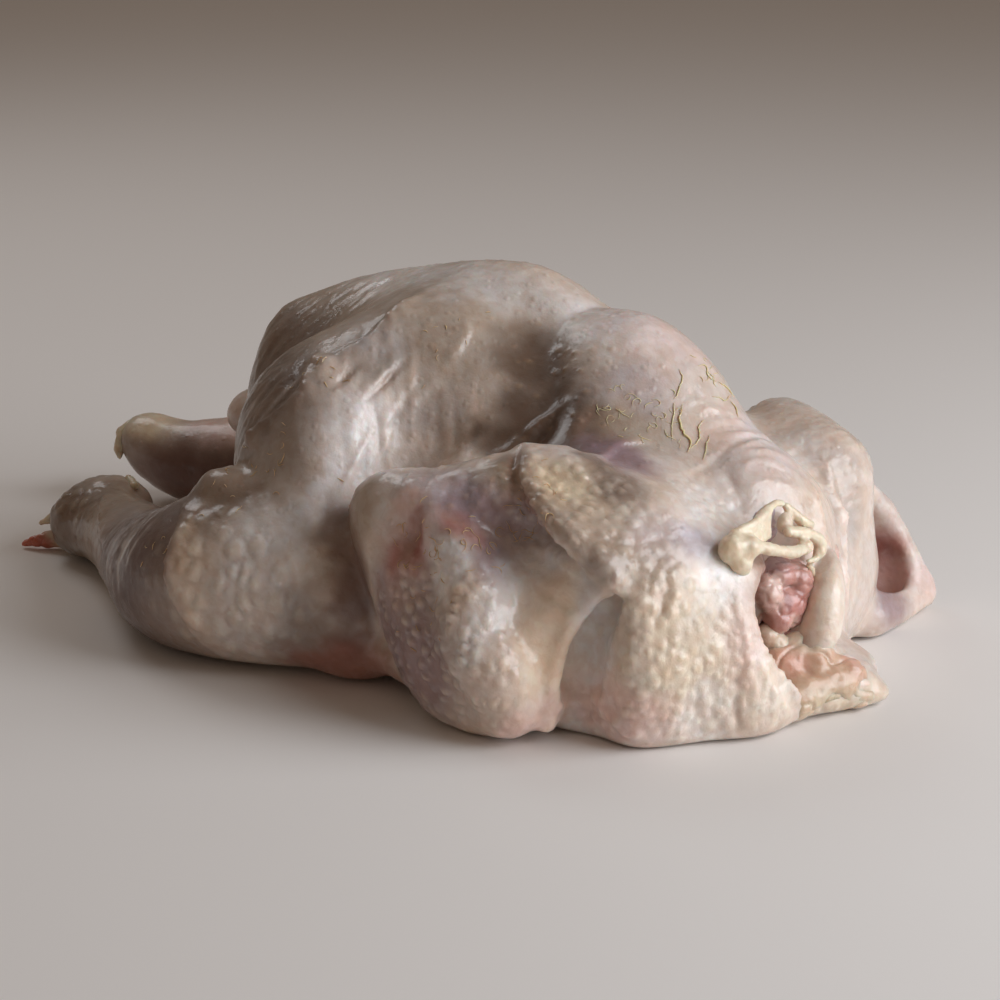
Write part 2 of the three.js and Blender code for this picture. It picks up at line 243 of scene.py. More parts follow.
def skin_sheet(rows, half_thickness):
    """A sheet of skin over rows that have the same number of points."""
    faces = []
    for root, free in zip(rows[:-1], rows[1:]):
        for i in range(1, len(root)):
            faces.append(triangle(root[i - 1], root[i], free[i - 1]))
            faces.append(triangle(root[i], free[i], free[i - 1]))

    def distance(x, y, z):
        nearest = faces[0](x, y, z)
        for face in faces[1:]:
            nearest = np.minimum(nearest, face(x, y, z))
        return nearest - half_thickness

    corners = np.concatenate([np.array(row, np.float32) for row in rows])
    return distance, corners.min(0) - half_thickness, corners.max(0) + half_thickness


def graded_axis(low, high, fine_low, fine_high):
    """Grid lines FINE apart over the side that shows, and ever wider beyond it."""
    lines = list(np.arange(fine_low, fine_high, FINE))
    step = FINE
    while lines[-1] < high:
        step = min(step * GROWTH, COARSE)
        lines.append(lines[-1] + step)
    step = FINE
    while lines[0] > low:
        step = min(step * GROWTH, COARSE)
        lines.insert(0, lines[0] - step)
    return np.array(lines, np.float32)


class Flesh:
    """A grid of distances to the skin, negative inside."""

    def __init__(self, axes):
        self.axes = axes
        self.value = np.full([len(axis) for axis in axes], FAR_AWAY, np.float32)

    def combine(self, shape, softness, join):
        distance, low, high = shape
        margin = softness + 2 * COARSE
        window = []
        sample = []
        for i, axis in enumerate(self.axes):
            first = np.searchsorted(axis, low[i] - margin)
            last = np.searchsorted(axis, high[i] + margin)
            window.append(slice(first, last))
            spread = [1, 1, 1]
            spread[i] = -1
            sample.append(axis[first:last].reshape(spread))
        window = tuple(window)
        self.value[window] = join(self.value[window], distance(*sample), softness)

    def blend(self, shape, softness):
        self.combine(shape, softness, soft_min)

    def pad(self, muscles):
        """Blends in rows of centre, radii, softness and, for some, tilt."""
        for centre, radii, softness, *tilt in muscles:
            self.blend(ellipsoid(centre, radii, *tilt), softness)

    def carve(self, shape, softness):
        self.combine(shape, softness, lambda old, new, soft: soft_max(old, -new, soft))

    def settle(self, softness):
        """Presses the underside flat on the table."""
        height = np.broadcast_to(self.axes[2], self.value.shape)
        self.value = soft_max(self.value, -height, softness)


# ------------------------------------------------------------------ anatomy
# The same forms as the CAD solid's, with the finer ones added: rows of x, y, z and radius.

SPINE = [
    (-107, -10, 71, 15), (-72, -2, 78, 19), (-35, 2, 84, 20), (-15, 3, 72, 17), (8, 3, 77, 17),
    (32, 4, 53.5, 15.5), (52, 5, 43, 14),
]
TAIL = [(-98, 0, 56, 20), (-122, 0, 46, 14), (-142, 0, 42, 9), (-150, 0, 40, 5)]

# The hollow between the flank and the shoulder blade.
FLANK_VALLEY = [(-15, -20, 106, 10), (-12, -34, 99, 14), (-6, -52, 86, 15), (8, -64, 78, 10)]

NEAR_THIGH = [(-46, -26, 74, 24), (-56, -48, 56, 27), (-52, -70, 30, 22)]
NEAR_DRUMSTICK = [
    (-38, -71, 22, 22), (-66, -82, 24, 25), (-89, -84, 19, 20.5), (-111, -75, 16, 16),
    (-138, -62, 14.5, 13), (-157, -54, 13, 12),
]
FAR_THIGH = [(-64, 28, 70, 24), (-84, 50, 44, 28), (-96, 62, 24, 22)]
FAR_DRUMSTICK = [
    (-94, 56, 22, 21), (-120, 42, 19, 22), (-151, 25, 16, 19), (-183, 9, 15, 14),
    (-196, 4.5, 17.5, 11.5),
]

NEAR_UPPER_ARM = [(46, -46, 50, 14), (26, -54, 58.5, 13), (6, -66, 53, 14), (-11, -71, 46, 15)]
NEAR_FOREARM = [(-11, -72, 46, 18), (2, -76, 30, 19), (14, -80, 16, 18), (22, -80, 9, 15)]
NEAR_HAND = [(36, -73, 9, 8), (10, -76, 8.5, 8), (-16, -74, 9, 6)]
NEAR_FLANK = [(-26, -62, 14, 11), (-8, -62, 20, 13), (14, -60, 22, 14)]
# The web of skin in the crook of the wing hangs from the forearm's bone to its own free lip.
NEAR_ARM_BONE = [
    (-2, -77, 57, 6), (6, -79, 54.2, 6.5), (10, -79.3, 51.5, 7), (16, -79.4, 45.2, 8.5),
    (23.2, -82.8, 35.4, 10), (25.2, -85.8, 27.4, 10.5), (31.6, -86, 20.1, 10), (34, -83.5, 10.5, 9),
]
NEAR_WEB_ROOT = [
    (16, -58, 64), (9, -77, 53), (17, -79, 46), (25, -82, 36), (30, -85, 25), (36, -84, 11),
]
NEAR_WEB_SAG = [
    (32, -57, 57), (29, -68, 48), (34.5, -73.3, 41.5), (38, -77, 34.5), (39, -79.5, 25.5),
    (40.5, -81, 9),
]
NEAR_WEB_LIP = [
    (58, -70, 47), (52.7, -70.4, 42), (47.3, -71.2, 35), (43.8, -73.7, 27), (42.9, -76.7, 16.3),
    (42.4, -77.3, 5.7),
]
LIP_THICKNESS = 2.2
BEHIND_LIP = [
    (56, -78, 41.5, 6), (53.5, -80, 32.5, 11), (52, -80.5, 18.5, 12), (51, -80, -1, 12),
]
# The trough close behind the lip, so that it stands free of the breast.
LIP_TROUGH = [
    (55, -67.5, 40, 4), (52, -67.5, 37, 6), (48.5, -70, 28.5, 6.5), (47.5, -72, 17, 6),
    (46.5, -74, 6, 5),
]

FAR_UPPER_ARM = [(44, 40, 46, 17), (24, 53, 50, 14), (20, 60, 46, 12)]
FAR_FOREARM = [(20, 60, 45, 13), (35, 68, 31, 11.5), (50, 72, 10, 9)]
FAR_WEB_ROOT = [(42, 50, 50), (34, 58, 42), (42, 64, 24), (50, 68, 6)]
FAR_WEB_LIP = [(46, 56, 42), (50, 67, 32), (56, 74, 15), (58, 76, 5)]
FAR_HAND = [(57, 76, 6, 6), (58, 62, 5, 7), (58, 48, 5, 8)]

# The thick, cobbled tongue of skin that lies over the shoulder: its free edge and its root.
PAD_EDGE = [
    (17, -56, 68), (22, -61, 67.2), (26.5, -65, 64.2), (37, -69.5, 59.8), (46, -71.5, 56),
    (55, -70, 50),
]
PAD_ROOT = [
    (24, -49, 67), (31, -49, 65), (37, -51, 62.5), (47, -53, 58.5), (54, -57, 54), (59, -61, 48),
]
PAD_THICKNESS = 4.2
SHOULDER_PAD = [(40, -53, 52, 9), (46, -57, 45, 13), (52, -57, 34, 17), (54, -56, 22, 18)]

# Muscles and pads of fat: centre, radii, how softly each blends and how far it tilts.
TRUNK = [
    ((-13, 0, 46), (55, 50, 46), 1),
    ((22, -4, 18), (52, 64, 38), TRUNK_BLEND),
    ((48, -42, 17), (29, 33, 44), 10),
    ((38, 34, 22), (27, 28, 32), 10),
    ((48, -2, 30), (22, 28, 36), BODY_BLEND),
    ((-64, 0, 58), (54, 42, 36), TRUNK_BLEND),
    ((-64, 0, 34), (56, 46, 32), TRUNK_BLEND),
]
BACK = [
    ((-92, -9, 54), (35, 28, 24.5), BODY_BLEND),
    ((28, -32, 50), (28, 22, 18), BODY_BLEND, -15),
    ((22, 30, 38), (28, 22, 17), BODY_BLEND, -15),
]
NEAR_HIP = [((-66, -44, 52), (32, 24, 30), BODY_BLEND, 20)]
NEAR_LEG_PADS = [
    ((-167, -52, 12), (13, 13, 12), SKIN_BLEND),
    ((-161, -48, 17), (14, 12, 9.5), SKIN_BLEND),
    ((-30, -72, 12), (15, 14, 14), SKIN_BLEND),
    ((-70, -84, 48.5), (8, 6, 6), 5),
]
FAR_HOCK = [((-202, 3, 21), (8, 9.5, 8), SKIN_BLEND)]
NEAR_SHOULDER = [((-7, -50, 42), (20, 16, 22), MUSCLE_BLEND)]
NECK_BASE = [((76, -6, 6), (15, 24, 9), MUSCLE_BLEND)]
FAR_WING_HOLLOW = ((54.5, 61, 13.5), (6.5, 9.5, 10.5))


def tail_lobe(side):
    """One half of the tail's fleshy end."""
    return [(-126, 5 * side, 45, 7), (-141, 6.5 * side, 42, 6.5), (-148, 3.5 * side, 39, 4)]


def add_trunk(flesh):
    flesh.pad(TRUNK)
    flesh.blend(limb(SPINE), BODY_BLEND)
    flesh.pad(BACK)
    flesh.blend(limb(TAIL), BODY_BLEND)
    for side in (-1, 1):
        flesh.blend(limb(tail_lobe(side)), SKIN_BLEND)
    flesh.carve(limb(FLANK_VALLEY), BODY_BLEND)


def add_legs(flesh):
    flesh.pad(NEAR_HIP)
    flesh.blend(limb(NEAR_THIGH), THIGH_BLEND)
    flesh.blend(limb(NEAR_DRUMSTICK), MUSCLE_BLEND)
    flesh.pad(NEAR_LEG_PADS)
    flesh.blend(limb(FAR_THIGH), THIGH_BLEND)
    flesh.blend(limb(FAR_DRUMSTICK), BODY_BLEND)
    flesh.pad(FAR_HOCK)


def add_near_wing(flesh):
    flesh.blend(limb(NEAR_FLANK), MUSCLE_BLEND)
    flesh.pad(NEAR_SHOULDER)
    flesh.blend(limb(SHOULDER_PAD), MUSCLE_BLEND)
    flesh.carve(limb(BEHIND_LIP), MUSCLE_BLEND)
    flesh.carve(limb(LIP_TROUGH), SKIN_BLEND)
    flesh.blend(limb(NEAR_UPPER_ARM), SKIN_BLEND)
    flesh.blend(limb(NEAR_FOREARM, (0, 1, 0.3), 0.72), SKIN_BLEND)
    flesh.blend(limb(NEAR_ARM_BONE), SKIN_BLEND)
    flesh.blend(skin_sheet([NEAR_WEB_ROOT, NEAR_WEB_SAG, NEAR_WEB_LIP], THIN_SKIN), SKIN_BLEND)
    flesh.blend(limb([(*spot, LIP_THICKNESS) for spot in NEAR_WEB_LIP]), THIN_SKIN)
    flesh.blend(limb(NEAR_HAND, (0, 0.3, 1), 0.8), SKIN_BLEND)
    flesh.blend(skin_sheet([PAD_ROOT, PAD_EDGE], PAD_THICKNESS), 1.5)


def add_far_wing(flesh):
    flesh.blend(limb(FAR_UPPER_ARM), MUSCLE_BLEND)
    flesh.blend(limb(FAR_FOREARM, (0, 1, 0), 0.8), SKIN_BLEND)
    flesh.blend(skin_sheet([FAR_WEB_ROOT, FAR_WEB_LIP], THIN_SKIN), SKIN_BLEND)
    flesh.blend(limb([(*spot, 1.5 * LIP_THICKNESS) for spot in FAR_WEB_LIP]), SKIN_BLEND)
    flesh.blend(limb(FAR_HAND), SKIN_BLEND)
    flesh.carve(ellipsoid(*FAR_WING_HOLLOW), 2.5)


NECK_FOLD = [(66, -30, 36, 9), (71, -32, 20, 12), (74, -33, 8, 13)]
NECK_FLAP = [(80, -6, 5, 11), (86, -1, 4, 8), (90, 3, 3, 5)]
NECK_OPENING = [
    (71, -13, 51, 6), (75, -12.5, 42, 9.5), (78, -17, 34, 12), (81, -22, 27, 11.5),
    (85, -24, 19, 9), (88, -22, 11, 4),
]
# The dark gap between the meat and the near edge of the skin.
NECK_GAP = [(76, -28, 39, 3), (77.5, -31, 33, 5), (80, -31.5, 26, 5.5), (82.5, -29, 19, 4.5)]
# The skin's torn edge on the near side of the opening: its root and its rim.
NECK_RIM = [
    [
        (71, -33, 42), (72, -39, 37), (73, -42, 31), (75, -42, 26), (77, -41, 21), (79, -39, 16),
        (80, -36, 11), (82, -32, 7),
    ],
    [
        (74, -30, 40), (75, -35, 36.4), (76.8, -38, 31.9), (78.8, -38.2, 26.8), (81.4, -36.2, 22.3),
        (84, -33.7, 18.3), (85.5, -30.4, 14.9), (87, -27, 10),
    ],
]
RIM_THICKNESS = 0.9
# The pad of fat that runs down the far side of the opening.
NECK_COLUMN = [
    (74, 5, 38, 1.5), (76.5, 1.4, 34, 3.5), (79, -4.2, 28.5, 5.3), (80.2, -7.8, 21.5, 5.5),
    (79.6, -10.6, 15.5, 4.6),
]


def add_neck(flesh):
    flesh.blend(limb(NECK_FOLD), 14)
    flesh.pad(NECK_BASE)
    flesh.blend(limb(NECK_FLAP, (0, 0, 1), 0.8), SKIN_BLEND)
    flesh.carve(limb(NECK_OPENING), 2)
    flesh.carve(limb(NECK_GAP), 1.5)
    flesh.blend(skin_sheet(NECK_RIM, RIM_THICKNESS), 2)
    flesh.blend(limb(NECK_COLUMN), 3.5)


# ------------------------------------------------------------------ skinning the grid


def cell_points(flesh, cell):
    """The mean of the spots where the surface cuts each cell's edges."""
    total = np.zeros((len(cell), 3))
    crossings = np.zeros(len(cell))
    for axis, u, v in product(range(3), (0, 1), (0, 1)):
        start = np.roll((0, u, v), axis)
        step = np.roll((1, 0, 0), axis)
        a = flesh.value[tuple((cell + start).T)]
        b = flesh.value[tuple((cell + start + step).T)]
        cut = (a < 0) != (b < 0)
        share = np.where(cut, a / np.where(cut, a - b, 1), 0)
        spot = start + share[:, None] * step
        total[cut] += spot[cut]
        crossings[cut] += 1
    place = (cell + total / crossings[:, None]).T
    return np.stack([np.interp(p, np.arange(len(a)), a) for p, a in zip(place, flesh.axes)], 1)


def crossing_quads(inside, vertex_of):
    """A quad of cells round each step of the grid that goes in or out of the body."""
    quads = []
    for axis in range(3):
        near = [slice(1, -1)] * 3
        far = list(near)
        near[axis] = slice(0, -1)
        far[axis] = slice(1, None)
        start = inside[tuple(near)]
        edge = np.argwhere(start != inside[tuple(far)])
        outward = start[tuple(edge.T)]
        ring = []
        for around in ((0, 0), (1, 0), (1, 1), (0, 1)):
            ring.append(vertex_of[tuple((edge + np.roll((0, *around), axis)).T)])
        quad = np.stack(ring, 1)
        quad[~outward] = quad[~outward][:, ::-1]
        quads.append(quad)
    return np.concatenate(quads)


def skin_grid(flesh):
    """One vertex for each cell that the surface crosses, and a quad for each crossing."""
    inside = flesh.value < 0
    n = inside.shape
    how_many = np.zeros([length - 1 for length in n], np.int8)
    for i, j, k in product((0, 1), repeat=3):
        how_many += inside[i : n[0] - 1 + i, j : n[1] - 1 + j, k : n[2] - 1 + k]
    crossed = (how_many > 0) & (how_many < 8)
    cell = np.argwhere(crossed)
    vertex_of = np.full(crossed.shape, -1)
    vertex_of[crossed] = np.arange(len(cell))
    return cell_points(flesh, cell), crossing_quads(inside, vertex_of)


def sums_at(index, rows, count):
    return np.stack([np.bincount(index, rows[:, i], count) for i in range(3)], 1)


def vertex_normals(points, quads):
    diagonal = points[quads[:, 2]] - points[quads[:, 0]]
    other = points[quads[:, 3]] - points[quads[:, 1]]
    face = np.cross(diagonal, other)
    total = sum(sums_at(quads[:, i], face, len(points)) for i in range(4))
    return total / np.maximum(np.linalg.norm(total, axis=1, keepdims=True), 1e-9)


PUSH_BACK = 1.04  # how many times further each round pushes out than it pulled in


def relax(points, quads, rounds, strength=0.5):
    """Evens out the grid's steps without shrinking the body."""
    edges = np.concatenate([quads[:, [i, (i + 1) % 4]] for i in range(4)])
    count = np.bincount(edges[:, 0], minlength=len(points))[:, None]
    for _ in range(rounds):
        for push in (strength, -strength * PUSH_BACK):
            mean = sums_at(edges[:, 0], points[edges[:, 1]], len(points)) / count
            points = points + push * (mean - points)
    return points


# ------------------------------------------------------------------ relief of the skin
# A fold is rows of x, y, z and height along its ridge (below 0 for a crease), then how far it
# reaches on the left and on the right of the way along it, looked at from outside.

SWELLS = [
    # the thigh's ridge under the hip, the hollow of the flank before it and the valley behind
    # the shoulder
    ([(-53, -63, 84, 1), (-50, -68, 75, 3), (-47, -74, 65, 4), (-42, -77, 55, 3.4),
      (-33, -81, 44, 0)], 13, 9),
    ([(-33, -34, 94, 0), (-29, -45, 82, -1.6), (-27, -51, 70, -2.6), (-22, -58, 60, -2)], 12, 12),
    ([(-18, -8, 94, 0), (-6, -19, 86, -3), (4, -32, 77, -5), (4, -41, 70, -5),
      (-4, -52, 62, -3)], 6, 10),
]
FOLDS = [
    # the crest over the hip, its hooked end and the edge where the rump begins
    ([(-52, -62, 84, 1.2), (-49, -55, 87, 1.9), (-46, -48, 92, 1.7), (-47, -39, 97, 1.1)], 1.4, 6),
    ([(-47, -39, 97, 1.1), (-45, -30, 100, 0.9), (-47, -15, 101, 0.3)], 3, 8),
    ([(-59, -63, 83, 0.3), (-55, -62, 86, 1.4), (-51, -61, 84, 1)], 2, 2.2),
    ([(-56, -64, 82, 1.4), (-54, -68, 77, 1.6), (-56, -72, 73, 1.5), (-67, -75, 64, 1.2)], 5, 1.4),
    ([(-67, -75, 64, 1.2), (-71, -76, 59, 1), (-76, -79, 53, 0.6), (-80, -86, 48, 0.8)], 4, 1.6),
    # taut folds and wet streaks from the hip down over the flank
    ([(-36, -47, 87, 0), (-36, -53, 84, 0.9), (-37, -57, 80, 1), (-39, -61, 76, 0)], 0.8, 2.4),
    ([(-35, -47, 86, 0), (-35, -54, 82, -1.2), (-37, -59, 77, -1), (-38, -61, 75, 0)], 1, 0.8),
    ([(-44, -56, 85, 0), (-45, -60, 81, -1.3), (-46, -63, 78, -0.8), (-48, -65, 75, 0)], 1.2, 1.2),
    ([(-30, -47, 82, 0), (-31, -53, 76, 0.7), (-31, -56, 72, 0.7), (-32, -60, 68, 0)], 1, 2.6),
    ([(-26, -42, 82, 0), (-28, -49, 76, 0.9), (-29, -54, 70, 0)], 1.2, 3),
    ([(-30, -26, 94, 0), (-27, -32, 89, 0.8), (-26, -42, 82, 0)], 1.4, 3),
    ([(-34, -60, 71, 0), (-35, -65, 63, 0.7), (-36, -70, 56, 0.7), (-36, -74, 51, 0)], 0.8, 0.8),
    ([(-31, -57, 68, 0), (-31, -60, 63, 0.6), (-32, -63, 58, 0)], 0.7, 0.7),
    # the tendon fold across the hollow behind the shoulder, and the crease beside it
    ([(9, -28, 79, 0), (6, -33, 76, 1.3), (3, -38, 73, 1.9), (-1, -44, 67, 1.7),
      (-5, -49, 61, 0.4)], 1.1, 2.4),
    ([(17, -25, 78, 0), (17, -29, 75, -0.4), (18, -34, 72, -0.4), (22, -42, 71, 0)], 2, 2),
    # the edge of the muscle that shows blue beside the pad
    ([(33, -49, 71, 0), (33, -45, 70, 0.9), (30, -34, 69, 1), (32, -27, 69, 0.9),
      (34, -22, 69, 0)], 3, 0.9),
    # wrinkles over the root of the neck
    ([(32, -8, 76, 0), (34, -4, 77, 0.33), (37, -1, 75, 0.33), (41, 1, 72, 0)], 0.8, 1.2),
    ([(35, -8, 73, 0), (37, -2, 75, 0.39), (39, 4, 73, 0.33), (40, 7, 71, 0)], 0.8, 1.2),
    ([(39, -6, 71, 0), (40, -2, 72, 0.39), (42, 5, 70, 0.33), (44, 9, 68, 0)], 0.8, 1.2),
    ([(42, -7, 69, 0), (45, -1, 69, 0.45), (47, 7, 67, 0.39), (46, 12, 65, 0)], 0.8, 1.3),
    ([(48, -10, 66, 0), (50, -3, 67, 0.45), (50, 7, 66, 0.39), (54, 9, 64, 0)], 0.8, 1.3),
    ([(50, -8, 65, 0), (53, -3, 66, 0.45), (56, 4, 64, 0.33), (58, 8, 61, 0)], 0.8, 1.2),
    ([(56, -12, 62, 0), (55, -8, 64, 0.52), (57, -3, 64, 0.52), (61, 3, 60, 0.39),
      (63, 6, 58, 0)], 0.8, 1.3),
    ([(58, -15, 58, 0), (60, -9, 60, 0.45), (63, -3, 58, 0.45), (65, 3, 56, 0)], 0.8, 1.2),
    # the crease between the back and the neck
    ([(50, -13, 63, 0), (54, -15, 61, -0.5), (59, -17, 56, -0.5), (62, -21, 51, 0)], 1.6, 1.6),
    # long folds down the bird's left side of the neck
    ([(52, 30, 57, 0), (56, 29, 54, 1.2), (59, 27, 49, 1.6), (63, 26, 42, 1.6)], 1.3, 2.2),
    ([(63, 26, 42, 1.6), (68, 21, 36, 1.5), (72, 17, 29, 1.4), (73, 17, 19, 1),
      (76, 11, 14, 0)], 1.3, 2.2),
    ([(63, 10, 56, 0), (67, 8, 52, 0.8), (71, 6, 44, 1.1), (72, 9, 35, 1.2),
      (73, 11, 22, 0.4)], 0.9, 1.6),
    ([(59, 27, 49, 0), (62, 25, 44, 0.8), (68, 17, 41, 1), (71, 17, 33, 1),
      (73, 16, 25, 0.3)], 0.9, 1.2),
    # the crease beside the torn rim, the rim's own folds, and those round the breast below
    ([(76, -44, 25, 0), (77, -44, 17, -0.8), (80, -45, 6, -0.8)], 1, 1.4),
    ([(74, -39, 41, 0), (77, -41, 32, 0.6), (79, -41, 23, 0.8), (82, -41, 14, 0.7),
      (85, -39, 6, 0)], 2, 2),
    ([(80, -38, 27, 0), (83, -38, 20, 0.6), (85, -36, 13, 0.8), (88, -32, 6, 0.3)], 1.5, 1.8),
    ([(69, -66, 34, 0), (69, -64, 39, -0.8), (68, -61, 43, -0.8), (67, -56, 47, 0)], 1.4, 1.6),
    ([(45, -77, 12, 0), (52, -73, 10, 1), (59, -71, 7, 1.1), (66, -68, 4, 0.5)], 3, 1.2),
    # the edge of the skin on the near drumstick
    ([(-78, -92, 46, 0.8), (-74, -97, 44, 1.2), (-71, -104, 39, 1.3),
      (-70, -107, 33, 1.3)], 7, 0.7),
    ([(-70, -107, 33, 1.3), (-68, -109, 27, 1.3), (-64, -107, 17, 1.2),
      (-61, -101, 8, 0.6)], 7, 0.7),
    # where the skin's cuff ends at the hock
    ([(-155, -54, 26, 0), (-145, -66, 26, 1), (-135, -76, 24, 1.1), (-121, -87, 22, 1),
      (-114, -92, 20, 0)], 5, 0.9),
    # creases in the elbow
    ([(2, -85, 57, 0), (4, -86, 54, -1.8), (2, -88, 48, -1.4), (0, -88, 43, 0)], 1.8, 2),
    ([(8, -83, 58, 0), (14, -81, 56, -1), (18, -79, 53, 0)], 1.6, 1.8),
    # the crease before the pad's free edge
    ([(17, -58, 70, -0.5), (20, -65, 68, -1.6), (25, -69, 64, -1.6), (32, -73, 59, -1),
      (40, -76, 55, 0)], 1.4, 1.4),
    # the far side: the thigh's fold against the flank, wrinkles behind the wing and the edge
    # of the skin on the drumstick
    ([(-60, 34, 86, 0), (-52, 48, 72, -2), (-50, 56, 54, -2.6), (-54, 62, 34, -2)], 6, 5),
    ([(-44, 34, 84, 0), (-34, 46, 68, 1.2), (-28, 50, 50, 1.2), (-26, 54, 34, 0)], 3, 4),
    ([(-30, 30, 86, 0), (-18, 42, 72, 1), (-12, 48, 54, 0.8), (-12, 52, 36, 0)], 3, 4),
    ([(-98, 66, 42, 0), (-112, 58, 36, 1.2), (-118, 56, 26, 1.4), (-112, 62, 12, 0.8)], 1.2, 7),
    ([(-112, 8, 62, 0), (-124, 6, 54, -1), (-134, 0, 50, -1), (-146, 0, 46, -1.4)], 3, 3),
    ([(-112, 24, 56, 0), (-118, 18, 48, -1.4), (-120, 14, 40, -1)], 3, 3),
    ([(-104, 30, 70, 0), (-114, 30, 60, 1.2), (-120, 32, 48, 1.2), (-122, 34, 38, 0)], 3, 5),
    ([(-92, 48, 70, 0), (-102, 52, 58, 1), (-106, 56, 46, 0)], 2.5, 4),
    ([(-76, 54, 66, 0), (-82, 62, 52, -1.2), (-84, 68, 38, -1), (-82, 72, 26, 0)], 3, 3),
]
FOLD_DEPTH = 6.0  # how far a fold's path may lie above or below the skin that it lifts
FOLD_REACH = 3  # a fold has died out this many widths from its path

# Sizes of what the zones hold, and how high it stands.
COBBLE_SIZE = 3.7
COBBLE_HEIGHT = 0.75
COBBLE_SINK = 0.4  # how far the gaps between cobbles lie below the plain skin
COBBLE_WAVE = 0.5
LOBE_SIZE = 5.0
LOBE_SQUEEZE = (1, 1, 0.7)  # lobes are taller than they are wide
LOBE_HEIGHT = 0.9
FOLLICLE_SPACING = 4.8
FOLLICLE_HEIGHT = 0.35
FAT_GRAINS = [(6, 1.1, 31), (3, 0.5, 33)]  # size, height and seed
FAT_SINK = 0.8
FOLD_UNEVENNESS = 0.3
FIBRE_HEIGHT = 0.7
WAVES = [(14, 0.45, 3, 3), (3.2, 0.12, 17, 2)]  # size, height, seed and layers
CALM = 5.0  # the relief fades out over this height above the table

# Zones: centre, radii and strength.
COBBLED = [
    ((38, -66, 60), (27, 19, 16), 1.0),
    ((62, -62, 42), (18, 16, 16), 0.9),
    ((72, -56, 22), (20, 22, 24), 1.0),
    ((58, -74, 8), (22, 12, 12), 0.9),
    ((14, -93, 26), (24, 14, 26), 1.3),
    ((34, -91, 20), (13, 10, 18), 0.9),
    ((84, -38, 16), (8, 9, 16), 0.8),
    ((-98, 62, 24), (24, 18, 20), 0.5),
    ((18, 62, 40), (26, 20, 22), 0.6),
    ((50, 40, 50), (20, 18, 18), 0.5),
    ((56, -28, 58), (10, 12, 10), 0.7),
]
LOBED = [
    ((-50, -102, 26), (26, 20, 24), 1.0),
    ((-40, -92, 52), (20, 14, 20), 0.3),
    ((-165, -56, 16), (22, 18, 16), 0.6),
    ((-96, 66, 36), (26, 20, 28), 0.8),
    ((20, 62, 34), (34, 24, 26), 0.5),
    ((-138, 0, 42), (14, 14, 10), 0.6),
]
SMOOTH = [
    ((53, -74, 32), (9, 9, 11), 0.8),
    ((42, -38, 66), (18, 8, 8), 1.0),
    ((66, -44, 52), (6, 7, 6), 0.8),
    ((41, -77, 30), (8, 9, 18), 0.9),
]
FOLLICLES = [
    ((2, -20, 86), (30, 26, 22), 1.0),
    ((-30, -34, 90), (30, 26, 22), 0.6),
    ((8, -72, 62), (22, 14, 10), 1.0),
    ((30, 40, 56), (40, 34, 24), 0.6),
    ((50, 4, 64), (24, 22, 12), 0.5),
    ((-84, 50, 56), (40, 30, 34), 0.8),
    ((-60, 12, 92), (40, 36, 20), 0.7),
]
FATTY = [((84, -35, 9), (7, 7, 7), 0.6), ((82, -12, 8), (16, 18, 10), 1.0)]
# Fibres: direction, size, height, then centre and radii of their zone.
FIBRES = [
    ((0.5, 0.5, 0.7), 2.2, 0.6, (-92, -28, 76), (36, 36, 32)),
    ((0.3, -0.3, -0.9), 2.4, 0.7, (-36, -52, 74), (24, 26, 24)),
    ((0.3, -0.6, -0.7), 2.6, 0.9, (10, -73, 63), (20, 9, 8)),
    ((-0.3, -0.5, -0.8), 2.2, 0.6, (-104, -92, 26), (22, 22, 26)),
    ((0.5, -0.4, -0.7), 2.8, 0.5, (66, 20, 36), (16, 16, 26)),
    ((0.5, -0.1, 0.85), 2.4, 0.8, (-78, -68, 66), (22, 18, 24)),
    ((0.1, 0.4, -0.9), 2.8, 0.5, (56, -80, 22), (12, 10, 20)),
    ((0.4, 0.3, -0.9), 4.2, 0.8, (-92, 52, 52), (44, 30, 44)),
    ((0.4, 0.5, -0.8), 4.2, 0.7, (-20, 48, 60), (44, 26, 40)),
    ((0.9, -0.4, -0.1), 4.2, 0.6, (-140, 24, 26), (40, 30, 24)),
]


# Below MIDDLE the gaps between cobbles and lobes get the crease colour, partly as painted shade.
MIDDLE = 0.4  # the height on a cobble or a lobe above which it is pale and below which dark
LOBE_MARK = 1.2
ZONE_CORE = 0.45  # a zone is at full strength up to this share of its radii
ZONE_EDGE = 1.45  # and ends at this share
# Parts of a cell: a cobble's dome and the slope beside it, a follicle's top, foot and jitter.
COBBLE_DOME = 0.75
COBBLE_GAP = 0.4
DOT_TOP = 0.06
DOT_FOOT = 0.3
DOT_JITTER = 0.6


def zone(points, centre, radii, strength=1.0, ragged=0.18, seed=5):
    """Up to `strength` in an ellipsoid with an uneven soft edge, and 0 outside it."""
    level = np.linalg.norm((points - np.array(centre)) / np.array(radii), axis=1)
    level = level + ragged * layered_noise(points, 0.7 * min(radii), seed, 2)
    return strength * (1 - smoothstep(ZONE_CORE, ZONE_EDGE, level))


def zones(points, places):
    total = np.zeros(len(points))
    for centre, radii, strength in places:
        total = np.maximum(total, zone(points, centre, radii, strength))
    return total


